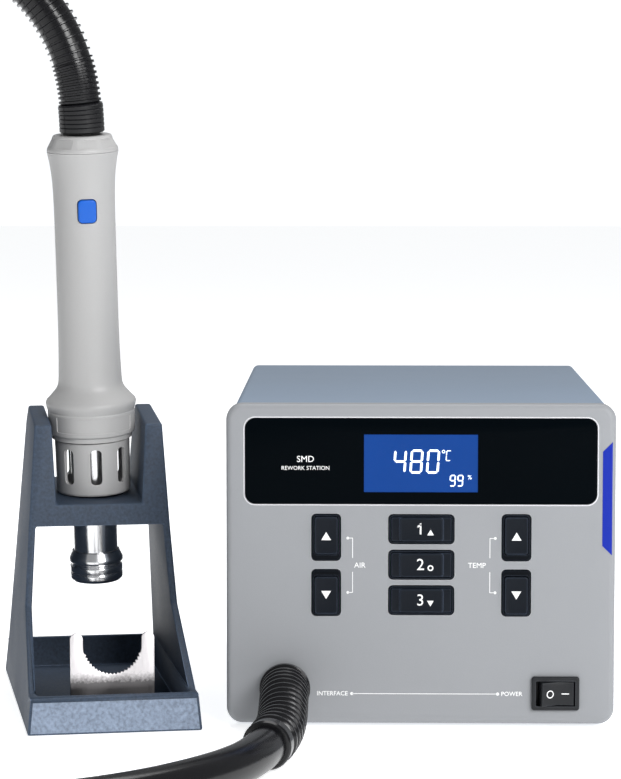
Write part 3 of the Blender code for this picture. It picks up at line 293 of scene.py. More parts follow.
@dataclass(frozen=True)
class Finish:
    """A moulded, painted or rubber surface.

    Sizes of the grain are in metres: scale is grains per metre and depth the height of the bump.
    """

    name: str
    colour: Triple
    roughness: float
    scale: float = 1600.0
    depth: float = 0.00003
    speckle: float = 0.05
    drift: float = 0.06
    spread: float = 0.08
    # the next two set a painted highlight along rounded edges: its strength, and how much paler
    # than the colour it gets
    edge: float = 0.25
    edge_highlight_gain: float = 1.5
    metallic: float = 0.0
    coat: float = 0.0
    specular: float = 0.5
    glow: float = 0.0

    def material(self) -> bpy.types.Material:
        """Returns the finish's material, made on first use."""
        found = bpy.data.materials.get(self.name)
        if found:
            return found
        made = bpy.data.materials.new(self.name)
        made.use_nodes = True
        self.wire(NodeKit(made.node_tree), made.node_tree.nodes["Principled BSDF"])
        return made

    def wire(self, kit: NodeKit, shader: bpy.types.Node) -> None:
        """Sets the shader's own sockets and places the shared effects before it.

        Args:
            kit: The material's node kit.
            shader: Its Principled BSDF.
        """
        shader.inputs["Metallic"].default_value = self.metallic
        shader.inputs["Coat Weight"].default_value = self.coat
        shader.inputs["Coat Roughness"].default_value = 0.12
        shader.inputs["Specular IOR Level"].default_value = self.specular
        grain = kit.add("ShaderNodeGroup", node_tree=Groups.grain())
        grain.inputs["Colour"].default_value = (*self.colour, 1.0)
        values = {"Scale": self.scale, "Speckle": self.speckle, "Drift": self.drift,
                  "Roughness": self.roughness, "Spread": self.spread}
        for label, value in values.items():
            grain.inputs[label].default_value = value
        colour = grain.outputs["Colour"]
        # painted highlight: rounded edges drawn paler than the colour
        if self.edge:
            edges = kit.add("ShaderNodeGroup", node_tree=Groups.edges())
            highlight_colour = [min(1.0, c * self.edge_highlight_gain + 0.01) for c in self.colour]
            edges.inputs["Edge"].default_value = (*highlight_colour, 1.0)
            edges.inputs["Amount"].default_value = self.edge
            kit.link(colour, edges.inputs["Colour"])
            colour = edges.outputs["Colour"]
        kit.link(colour, shader.inputs["Base Color"])
        kit.link(grain.outputs["Roughness"], shader.inputs["Roughness"])
        if self.glow:
            kit.link(colour, shader.inputs["Emission Color"])
            shader.inputs["Emission Strength"].default_value = self.glow
        bump = kit.add("ShaderNodeBump")
        bump.inputs["Distance"].default_value = self.depth
        kit.link(grain.outputs["Height"], bump.inputs["Height"])
        kit.link(bump.outputs[0], shader.inputs["Normal"])


@dataclass(frozen=True)
class Metal(Finish):
    """Bare metal with tool lines, which run across its z once the part is turned by `turn`."""

    metallic: float = 1.0
    pitch: float = 2600.0
    turn: Triple = (0.0, 0.0, 0.0)
    painted_shade_below: float = 0.0  # height in metres under which painted shade darkens the metal, in a ragged band
    painted_shade_soft: float = 0.002

    def wire(self, kit: NodeKit, shader: bpy.types.Node) -> None:
        """Sets the shader's own sockets and places the tool lines before it.

        Args:
            kit: The material's node kit.
            shader: Its Principled BSDF.
        """
        shader.inputs["Metallic"].default_value = self.metallic
        shader.inputs["Specular IOR Level"].default_value = self.specular
        place = kit.add("ShaderNodeTexCoord").outputs["Object"]
        mapping = kit.add("ShaderNodeMapping", vector_type="POINT")
        mapping.inputs["Rotation"].default_value = self.turn
        kit.link(place, mapping.inputs["Vector"])
        lines = kit.add("ShaderNodeGroup", node_tree=Groups.tooled())
        kit.link(mapping.outputs[0], lines.inputs["Vector"])
        lines.inputs["Pitch"].default_value = self.pitch
        lines.inputs["Roughness"].default_value = self.roughness
        lines.inputs["Spread"].default_value = self.spread
        tone = kit.add("ShaderNodeVectorMath", operation="SCALE")
        tone.inputs[0].default_value = self.colour
        gain = lines.outputs["Tone"]
        # painted shade below a height
        if self.painted_shade_below:
            gain = self.shaded(kit, place, gain)
        kit.link(gain, tone.inputs["Scale"])
        kit.link(tone.outputs[0], shader.inputs["Base Color"])
        kit.link(lines.outputs["Roughness"], shader.inputs["Roughness"])
        bump = kit.add("ShaderNodeBump")
        bump.inputs["Distance"].default_value = self.depth
        kit.link(lines.outputs["Height"], bump.inputs["Height"])
        kit.link(bump.outputs[0], shader.inputs["Normal"])

    def shaded(
        self, kit: NodeKit, place: bpy.types.NodeSocket, gain: bpy.types.NodeSocket
    ) -> bpy.types.NodeSocket:
        """Darkens the metal with painted shade, in a ragged band, below a height.

        Args:
            kit: The material's node kit.
            place: Object coordinates.
            gain: The tone so far.

        Returns:
            The darkened tone.
        """
        split = kit.add("ShaderNodeSeparateXYZ")
        kit.link(place, split.inputs[0])
        ragged = kit.math("MULTIPLY", kit.noise(place, 900.0, 4.0), 2 * self.painted_shade_soft)
        height = kit.math("ADD", split.outputs["Z"], ragged)
        ramp = kit.add("ShaderNodeMapRange")
        kit.link(height, ramp.inputs["Value"])
        ramp.inputs["From Min"].default_value = self.painted_shade_below - self.painted_shade_soft
        ramp.inputs["From Max"].default_value = self.painted_shade_below + self.painted_shade_soft
        ramp.inputs["To Min"].default_value = 0.2
        return kit.math("MULTIPLY", gain, ramp.outputs[0])


SHELL_GREY = Finish("shell_grey_plastic", (0.37, 0.367, 0.365), 0.42, edge=0.15)
PANEL_GREY = Finish("panel_grey_plastic", (0.25, 0.258, 0.272), 0.5, speckle=0.04, edge=0.3)
# paler grey for the ring round the window: painted highlight on the recess's raised edge
PAINTED_HIGHLIGHT_GREY = Finish("window_rim_grey", (0.50, 0.50, 0.52), 0.4)
COVER_PAINT = Finish(
    "cover_powder_coat", (0.18, 0.232, 0.305), 0.5, scale=1500, depth=0.00006, speckle=0.16,
    spread=0.15, edge=0.35,
)
# the stand's edges carry a strong painted highlight
STAND_BLUE = Finish(
    "stand_sparkle_plastic", (0.034, 0.050, 0.078), 0.58, scale=750, depth=0.00012,
    speckle=1.3, drift=0.08, spread=0.35, edge=1.3, edge_highlight_gain=3.2, specular=0.3,
)
# the base's sloping front: the stand's coarse grain, in a paler tone that is painted light
TRAY_FRONT_PAINTED_LIGHT = Finish(
    "tray_front_grain", (0.19, 0.235, 0.31), 0.6, scale=650, depth=0.00015, speckle=1.3,
    spread=0.3, edge=0.0, specular=0.3,
)
WINDOW_BLACK = Finish(
    "window_gloss_black", (0.001, 0.002, 0.003), 0.09, speckle=0.0, drift=0.2, spread=0.03,
    depth=0.000002, edge=0.0, specular=0.012,
)
# the keys and their frames carry a strong painted highlight along their edges
KEY_BLACK = Finish(
    "key_black_plastic", (0.005, 0.007, 0.011), 0.34, depth=0.00001, edge=0.5, edge_highlight_gain=9.0,
    specular=0.1,
)
KEY_FRAME_BLACK = Finish(
    "key_frame_plastic", (0.003, 0.004, 0.006), 0.4, depth=0.00001, edge=0.4, edge_highlight_gain=9.0,
    specular=0.05,
)
SWITCH_BLACK = Finish(
    "switch_black_plastic", (0.010, 0.011, 0.013), 0.33, edge=0.4, edge_highlight_gain=5.0, specular=0.25
)
HOSE_RUBBER = Finish(
    "hose_rubber", (0.004, 0.004, 0.005), 0.2, scale=900, depth=0.00002, speckle=0.3,
    spread=0.12, edge=0.2, edge_highlight_gain=3.0, specular=0.34,
)
FOOT_RUBBER = Finish("foot_rubber", (0.014, 0.014, 0.015), 0.62, depth=0.00004)
BUTTON_BLUE = Finish(
    "button_blue_plastic", (0.003, 0.095, 0.48), 0.32, edge_highlight_gain=1.3, specular=0.3
)
LABEL_BLUE = Finish(
    "edge_label_blue", (0.001, 0.016, 0.30), 0.3, speckle=0.02, edge=0.0, specular=0.2
)
PRINT_WHITE = Finish("print_white", (0.84, 0.84, 0.84), 0.5, speckle=0.02, edge=0.0)
SCREEN_BLUE = Finish(
    "screen_lit_blue", (0.005, 0.034, 0.165), 0.2, scale=2500, speckle=0.10, drift=0.25,
    depth=0.000001, edge=0.0, glow=0.5, specular=0.05,
)
SCREEN_WHITE = Finish(
    "screen_lit_white", (0.75, 0.86, 0.95), 0.3, speckle=0.0, drift=0.05, edge=0.0, glow=0.8,
)
BOARD_GREEN = Finish("board_green", (0.015, 0.13, 0.05), 0.4, scale=400, speckle=0.25, drift=0.3)
MOULD_WHITE = Finish("mould_white_plastic", (0.72, 0.72, 0.70), 0.45)
CORE_IRON = Finish("core_iron_varnish", (0.10, 0.09, 0.085), 0.45, metallic=0.5, speckle=0.2)
FIRED_CERAMIC = Finish("fired_ceramic", (0.70, 0.67, 0.60), 0.75, speckle=0.15, depth=0.00008)
MICA_SHEET = Finish("mica_sheet", (0.42, 0.34, 0.21), 0.4, scale=300, speckle=0.4, drift=0.3)
# the plate's lower part is darkened by painted shade, in a ragged band
PLATE_STEEL = Metal(
    "plate_steel", (0.8, 0.77, 0.78), 0.42, spread=0.3, depth=0.000015, pitch=3200.0,
    turn=(0.0, math.pi / 2, 0.0), painted_shade_below=0.0225, painted_shade_soft=0.0022,
)
SCREW_STEEL = Metal("screw_steel", (0.62, 0.62, 0.61), 0.3, spread=0.2, depth=0.00001)
FIN_ALUMINIUM = Metal("fin_aluminium", (0.76, 0.77, 0.78), 0.38, spread=0.2, depth=0.00002)
PIN_BRASS = Metal("pin_plated_brass", (0.74, 0.70, 0.58), 0.28, spread=0.15, depth=0.00001)


# --- frames ------------------------------------------------------------------------------------


@dataclass(frozen=True)
class Frames:
    """Matrices from each sub-assembly's millimetres to the part's metres."""

    unit: Matrix
    stand: Matrix
    gun: Matrix
    stand_yaw: float = math.radians(10.5)
    stand_mount_y: float = 80.0  # the base mount's distance from the base's front
    tube_middle: float = 10.0  # middle of the gun's outlet tube, along the gun's axis

    @classmethod
    def read(cls, frame: dict) -> Frames:
        """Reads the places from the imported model.


        Returns:
            The frames.
        """
        scale = Matrix.Scale(MM, 4)
        low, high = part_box("front_bezel")
        unit = Matrix.Translation(((low.x + high.x) / 2, low.y, 0.0)) @ scale
        mounts = {mount["name"]: Vector(mount["pos_m"]) for mount in frame["record"]["mounts"]}
        turn = Matrix.Rotation(cls.stand_yaw, 4, "Z")
        stand = Matrix.Translation(mounts["stand_base"]) @ turn @ scale
        stand = stand @ Matrix.Translation((0.0, -cls.stand_mount_y, 0.0))
        joints = {joint["name"]: Vector(joint["axis"]) for joint in frame["joints"]}
        up = joints["gun_lift"].normalized()
        back = joints["gun_button_press"].normalized()
        right = back.cross(up).normalized()
        axes = Matrix((right, up.cross(right), up)).transposed().to_4x4()
        low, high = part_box("outlet_tube")
        base = (low + high) / 2 - up * cls.tube_middle * MM
        gun = Matrix.Translation(base) @ axes @ scale
        return cls(unit, stand, gun)


# --- modelling ---------------------------------------------------------------------------------


def block(size: Triple, centre: Triple) -> bmesh.types.BMesh:
    """Makes a plain block.

    Args:
        size: Its sides along x, y and z.
        centre: Its middle.

    Returns:
        The shape.
    """
    shape = bmesh.new()
    matrix = Matrix.Translation(centre) @ Matrix.Diagonal((*size, 1.0))
    bmesh.ops.create_cube(shape, size=1.0, matrix=matrix)
    return shape


def bevel(shape: bmesh.types.BMesh, edges: Iterable, width: float, segments: int = 4) -> None:
    """Rounds some edges of a shape.

    Args:
        shape: The shape.
        edges: Which of its edges.
        width: The rounding's radius on a square edge.
        segments: Faces across the rounding.
    """
    bmesh.ops.bevel(
        shape, geom=list(edges), offset=width, offset_type="OFFSET", segments=segments,
        profile=0.5, affect="EDGES", material=-1, clamp_overlap=True,
    )


def edges_at(shape: bmesh.types.BMesh, axis: int, level: float) -> list:
    """Returns the sharp edges of a shape whose ends both lie at a level along an axis."""
    return [
        edge for edge in shape.edges
        if all(abs(vert.co[axis] - level) < 1e-4 for vert in edge.verts)
        and len(edge.link_faces) == 2 and edge.calc_face_angle() > 0.5
    ]


def front_face(shape: bmesh.types.BMesh) -> bmesh.types.BMFace:
    """Returns the flat face that lies furthest forward."""
    flat = (face for face in shape.faces if abs(face.normal.y) > 0.99)
    return min(flat, key=lambda face: face.calc_center_median().y)


def sharp_edges(shape: bmesh.types.BMesh, angle: float = 0.5) -> list:
    """Returns the edges of a shape whose faces meet at more than an angle."""
    return [e for e in shape.edges if len(e.link_faces) == 2 and e.calc_face_angle() > angle]


def slab(size: Triple, centre: Triple, corner: float, front: float = 0.0) -> bmesh.types.BMesh:
    """Makes a slab across y with round corners and, if asked, a rounded front edge.

    Args:
        size: Its sides along x, y and z.
        centre: Its middle.
        corner: Radius of the four corners seen from the front.
        front: Radius of the edge around its front face.

    Returns:
        The shape.
    """
    shape = block(size, centre)
    along = [e for e in shape.edges if abs(e.verts[0].co.y - e.verts[1].co.y) > size[1] / 2]
    bevel(shape, along, corner, 8)
    if front:
        bevel(shape, edges_at(shape, 1, centre[1] - size[1] / 2), front, 5)
    return shape


def plate(outline: Sequence[Pair], near: float, far: float) -> bmesh.types.BMesh:
    """Extrudes an (x, z) outline along y.

    Args:
        outline: Its corners in order.
        near: Where it starts along y.
        far: Where it ends.

    Returns:
        The shape.
    """
    shape = bmesh.new()
    face = shape.faces.new([shape.verts.new((x, near, z)) for x, z in outline])
    moved = bmesh.ops.extrude_face_region(shape, geom=[face])["geom"]
    verts = [item for item in moved if isinstance(item, bmesh.types.BMVert)]
    bmesh.ops.translate(shape, vec=(0.0, far - near, 0.0), verts=verts)
    bmesh.ops.recalc_face_normals(shape, faces=shape.faces)
    return shape


def turned(
    profile: Sequence[Pair], ring: bool = False, steps: int = 96, start: float = 0.0,
    sweep: float = TAU,
) -> bmesh.types.BMesh:
    """Spins a (radius, z) profile about z.

    Args:
        profile: Its points. Unless it is a ring, both ends lie on the axis.
        ring: Whether the profile closes on itself.
        steps: Faces around it.
        start: Angle where it starts.
        sweep: Angle that it covers.

    Returns:
        The shape, closed, with its faces outwards.
    """
    shape = bmesh.new()
    at = (math.cos(start), math.sin(start))
    verts = [shape.verts.new((radius * at[0], radius * at[1], z)) for radius, z in profile]
    edges = [shape.edges.new(pair) for pair in zip(verts, verts[1:])]
    if ring:
        edges.append(shape.edges.new((verts[-1], verts[0])))
    bmesh.ops.spin(
        shape, geom=verts + edges, cent=(0.0, 0.0, 0.0), axis=(0.0, 0.0, 1.0), angle=sweep,
        steps=steps, use_merge=sweep == TAU,
    )
    bmesh.ops.remove_doubles(shape, verts=shape.verts, dist=1e-4)
    if sweep != TAU:
        open_edges = [edge for edge in shape.edges if edge.is_boundary]
        bmesh.ops.holes_fill(shape, edges=open_edges, sides=0)
    bmesh.ops.recalc_face_normals(shape, faces=shape.faces)
    return shape


def filleted(points: Sequence[Pair], radius: float, closed: bool = False) -> list[Pair]:
    """Rounds the corners of a profile.

    Args:
        points: Its corners.
        radius: How far along each side a rounding reaches, at most.
        closed: Whether the last point joins the first.

    Returns:
        The profile with a short curve at each corner. Ends on the axis stay as they are.
    """
    rounded: list[Pair] = []
    count = len(points)
    for k, point in enumerate(points):
        if not closed and k in (0, count - 1):
            rounded.append(point)
            continue
        here = Vector(point)
        before, after = Vector(points[k - 1]), Vector(points[(k + 1) % count])
        reach = min(radius, (before - here).length / 2.2, (after - here).length / 2.2)
        first = here + (before - here).normalized() * reach
        last = here + (after - here).normalized() * reach
        for step in range(5):
            t = step / 4
            place = first * (1 - t) ** 2 + here * 2 * t * (1 - t) + last * t**2
            rounded.append((place.x, place.y))
    return rounded


def moved(shape: bmesh.types.BMesh, matrix: Matrix) -> bmesh.types.BMesh:
    """Moves a shape and returns it."""
    bmesh.ops.transform(shape, matrix=matrix, verts=shape.verts)
    return shape


def along_y(shape: bmesh.types.BMesh, x: float, y: float, z: float) -> bmesh.types.BMesh:
    """Lays a shape made along z along -y, and moves its foot to a point."""
    return moved(shape, Matrix.Translation((x, y, z)) @ Matrix.Rotation(math.pi / 2, 4, "X"))


def merged(*shapes: bmesh.types.BMesh) -> bmesh.types.BMesh:
    """Puts several shapes in one."""
    whole = bmesh.new()
    for shape in shapes:
        mesh = bpy.data.meshes.new("shape")
        shape.to_mesh(mesh)
        shape.free()
        whole.from_mesh(mesh)
        bpy.data.meshes.remove(mesh)
    return whole


def carved(shape: bmesh.types.BMesh, *cutters: bmesh.types.BMesh) -> bmesh.types.BMesh:
    """Cuts shapes from another.

    Args:
        shape: What is cut.
        cutters: What is taken from it. Cutters may not overlap each other.

    Returns:
        The shape that is left.
    """
    helpers = []
    for part in (shape, merged(*cutters)):
        mesh = bpy.data.meshes.new("helper")
        part.to_mesh(mesh)
        part.free()
        helper = bpy.data.objects.new("helper", mesh)
        bpy.context.scene.collection.objects.link(helper)
        helpers.append(helper)
    cut = helpers[0].modifiers.new("cut", "BOOLEAN")
    cut.operation = "DIFFERENCE"
    cut.object = helpers[1]
    graph = bpy.context.evaluated_depsgraph_get()
    result = bmesh.new()
    result.from_object(helpers[0], graph)
    for helper in helpers:
        mesh = helper.data
        bpy.data.objects.remove(helper)
        bpy.data.meshes.remove(mesh)
    return result


def softened_copy(node: bpy.types.Object, width: float, segments: int = 3) -> bmesh.types.BMesh:
    """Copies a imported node's shape, in metres, and rounds its sharp edges.

    Args:
        node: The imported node.
        width: The rounding's radius, in metres.
        segments: Faces across the rounding.

    Returns:
        The copy.
    """
    shape = bmesh.new()
    shape.from_mesh(node.data)
    bmesh.ops.remove_doubles(shape, verts=shape.verts, dist=0.2 * MM)
    bmesh.ops.dissolve_limit(
        shape, angle_limit=math.radians(2.0), verts=shape.verts, edges=shape.edges
    )
    long_edges = [e for e in sharp_edges(shape, math.radians(28)) if e.calc_length() > 3 * width]
    bmesh.ops.bevel(
        shape, geom=long_edges, offset=width, offset_type="OFFSET", segments=segments,
        profile=0.5, affect="EDGES", material=-1, clamp_overlap=False,
    )
    bmesh.ops.recalc_face_normals(shape, faces=shape.faces)
    return shape


def lettering(text: str, size: float, centre: Triple, weight: float = 0.0) -> bmesh.types.BMesh:
    """Makes printed letters that face -y.

    Args:
        text: The letters.
        size: Their height, about.
        centre: The middle of the text, on the surface it is printed on.
        weight: How much the strokes are thickened.

    Returns:
        The shape.
    """
    curve = bpy.data.curves.new("lettering", "FONT")
    curve.body = text
    curve.size = size
    curve.align_x, curve.align_y = "CENTER", "CENTER"
    curve.extrude = PRINT_T / 2
    curve.offset = weight
    curve.resolution_u = 3
    holder = bpy.data.objects.new("lettering", curve)
    bpy.context.scene.collection.objects.link(holder)
    graph = bpy.context.evaluated_depsgraph_get()
    mesh = bpy.data.meshes.new_from_object(holder.evaluated_get(graph))
    shape = bmesh.new()
    shape.from_mesh(mesh)
    bpy.data.objects.remove(holder)
    bpy.data.curves.remove(curve)
    bpy.data.meshes.remove(mesh)
    bmesh.ops.remove_doubles(shape, verts=shape.verts, dist=1e-5)
    x, y, z = centre
    return along_y(shape, x, y - PRINT_T / 2 - MARK_LIFT, z)


def mark(outline: Sequence[Pair], face: float) -> bmesh.types.BMesh:
    """Makes a flat printed mark on a surface that faces -y."""
    return plate(outline, face - MARK_LIFT - PRINT_T, face - MARK_LIFT)


def stroke(x: float, z: float, width: float, height: float, face: float) -> bmesh.types.BMesh:
    """Makes a printed rectangle about a point."""
    half_w, half_h = width / 2, height / 2
    corners = [(x - half_w, z - half_h), (x + half_w, z - half_h)]
    corners += [(x + half_w, z + half_h), (x - half_w, z + half_h)]
    return mark(corners, face)


def dot(x: float, z: float, radius: float, face: float) -> bmesh.types.BMesh:
    """Makes a printed disc."""
    turn = TAU / 20
    outline = [
        (x + radius * math.cos(k * turn), z + radius * math.sin(k * turn)) for k in range(20)
    ]
    return mark(outline, face)


def hoop(x: float, z: float, radius: float, width: float, face: float) -> bmesh.types.BMesh:
    """Makes a printed circle of a line's width."""
    inner, low = radius - width, MARK_LIFT
    profile = [(radius, low), (radius, low + PRINT_T), (inner, low + PRINT_T), (inner, low)]
    return along_y(turned(profile, ring=True, steps=32), x, face, z)


def arrow(
    x: float, z: float, width: float, height: float, way: Way, face: float
) -> bmesh.types.BMesh:
    """Makes a printed triangle that points up or down."""
    foot, tip = z - way.value * height / 2, z + way.value * height / 2
    return mark([(x - width / 2, foot), (x + width / 2, foot), (x, tip)], face)


def finished(
    shape: bmesh.types.BMesh, name: str, finish: Finish, place: Matrix, body: str = "root",
    replaces: Sequence[str] = (), smooth: float = 32.0,
) -> bpy.types.Object:
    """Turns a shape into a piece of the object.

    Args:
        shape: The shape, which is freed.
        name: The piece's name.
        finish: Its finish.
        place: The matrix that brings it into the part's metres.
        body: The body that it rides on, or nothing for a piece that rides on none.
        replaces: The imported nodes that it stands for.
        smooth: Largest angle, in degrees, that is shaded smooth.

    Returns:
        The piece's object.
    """
    bmesh.ops.transform(shape, matrix=place, verts=shape.verts)
    mesh = bpy.data.meshes.new(name)
    shape.to_mesh(mesh)
    shape.free()
    mesh.shade_smooth()
    mesh.set_sharp_from_angle(angle=math.radians(smooth))
    mesh.materials.append(finish.material())
    piece = bpy.data.objects.new(name, mesh)
    bpy.context.scene.collection.objects.link(piece)
    if body:
        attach(piece, body)
    if replaces:
        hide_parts(*replaces)
    log.info("piece %s: %d faces", name, len(mesh.polygons))
    return piece


# --- studio ------------------------------------------------------------------------------------


@dataclass
class Studio:
    """The camera, the pale floor and the soft lights."""

    camera_at: Triple = (0.0329, -1.3626, 0.2607)
    camera_yaw: float = -0.0189
    camera_dip: float = 0.0876
    lens: float = 133.8
    floor_size: float = 14.0
    floor_colour: Triple = (0.88, 0.885, 0.89)
    floor_glow: float = 0.74
    sky: Triple = (0.94, 0.96, 0.98)
    sky_light: float = 0.36
    sky_seen: float = 1.1
    lamps: dict[str, tuple[Triple, float, float]] = field(default_factory=lambda: {
        "key_lamp": ((1.0, -1.75, 1.0), 0.9, 34.0),
        "fill_lamp": ((1.5, -1.0, 0.8), 0.6, 4.0),
        "top_lamp": ((0.1, 0.4, 1.8), 1.3, 20.0),
    })

    def build(self) -> None:
        """Makes the camera, the floor, the world and the lamps."""
        self.make_camera()
        self.make_floor()
        self.make_world()
        for name, (at, size, power) in self.lamps.items():
            self.make_lamp(name, at, size, power)
        bpy.context.scene.view_settings.view_transform = "Standard"

    def make_camera(self) -> None:
        """Makes the camera, a little above the object and looking slightly down."""
        data = bpy.data.cameras.new("camera")
        data.sensor_fit = "VERTICAL"
        data.sensor_height = 36.0
        data.lens = self.lens
        data.clip_start = 0.05
        camera = bpy.data.objects.new("camera", data)
        camera.location = self.camera_at
        camera.rotation_euler = (math.pi / 2 - self.camera_dip, 0.0, -self.camera_yaw)
        bpy.context.scene.collection.objects.link(camera)
        bpy.context.scene.camera = camera

    def make_floor(self) -> None:
        """Makes the floor, which isn't part of the object."""
        shape = bmesh.new()
        bmesh.ops.create_grid(shape, x_segments=1, y_segments=1, size=self.floor_size / 2)
        mesh = bpy.data.meshes.new("floor")
        shape.to_mesh(mesh)
        shape.free()
        mesh.materials.append(Finish(
            "floor_paper", self.floor_colour, 0.85, scale=60, depth=0.00001, speckle=0.01,
            drift=0.01, edge=0.0, specular=0.2, glow=self.floor_glow,
        ).material())
        floor = bpy.data.objects.new("floor", mesh)
        bpy.context.scene.collection.objects.link(floor)

    def make_world(self) -> None:
        """Makes an even, nearly white surrounding that is seen brighter than it lights."""
        world = bpy.data.worlds.new("studio")
        world.use_nodes = True
        kit = NodeKit(world.node_tree)
        background = world.node_tree.nodes["Background"]
        background.inputs["Color"].default_value = (*self.sky, 1.0)
        seen = kit.add("ShaderNodeLightPath").outputs["Is Camera Ray"]
        extra = kit.math("MULTIPLY", seen, self.sky_seen - self.sky_light)
        kit.link(kit.math("ADD", extra, self.sky_light), background.inputs["Strength"])
        bpy.context.scene.world = world

    def make_lamp(self, name: str, at: Triple, size: float, power: float) -> None:
        """Makes one square soft lamp that faces the object.

        Args:
            name: Its name.
            at: Its place in metres.
            size: Its side in metres.
            power: Its power in watts.
        """
        data = bpy.data.lights.new(name, "AREA")
        data.shape = "SQUARE"
        data.size = size
        data.energy = power
        lamp = bpy.data.objects.new(name, data)
        lamp.location = at
        aim = Vector((0.0, 0.0, 0.12)) - Vector(at)
        lamp.rotation_euler = aim.to_track_quat("-Z", "Y").to_euler()
        bpy.context.scene.collection.objects.link(lamp)


# --- hose --------------------------------------------------------------------------------------


def smooth_curve(points: Sequence[Sequence[float]], count: int) -> np.ndarray:
    """Reads evenly spaced points from the natural cubic spline through some points.

    Args:
        points: The points, in two or three dimensions.
        count: How many points to read.

    Returns:
        The points along the curve.
    """
    knots = np.array(points, float)
    gaps = np.linalg.norm(np.diff(knots, axis=0), axis=1)
    along = np.concatenate([[0.0], np.cumsum(gaps)])
    size = len(knots)
    system, right = np.eye(size), np.zeros(knots.shape)
    for k in range(1, size - 1):
        before, after = gaps[k - 1], gaps[k]
        system[k, k - 1 : k + 2] = before, 2 * (before + after), after
        right[k] = 6 * ((knots[k + 1] - knots[k]) / after - (knots[k] - knots[k - 1]) / before)
    bends = np.linalg.solve(system, right)
    curve = []
    for at in np.linspace(0.0, along[-1], count):
        k = min(int(np.searchsorted(along, at, side="right")) - 1, size - 2)
        u = (at - along[k]) / gaps[k]
        v = 1.0 - u
        bow = (v**3 - v) * bends[k] + (u**3 - u) * bends[k + 1]
        curve.append(v * knots[k] + u * knots[k + 1] + gaps[k] ** 2 / 6 * bow)
    return np.array(curve)


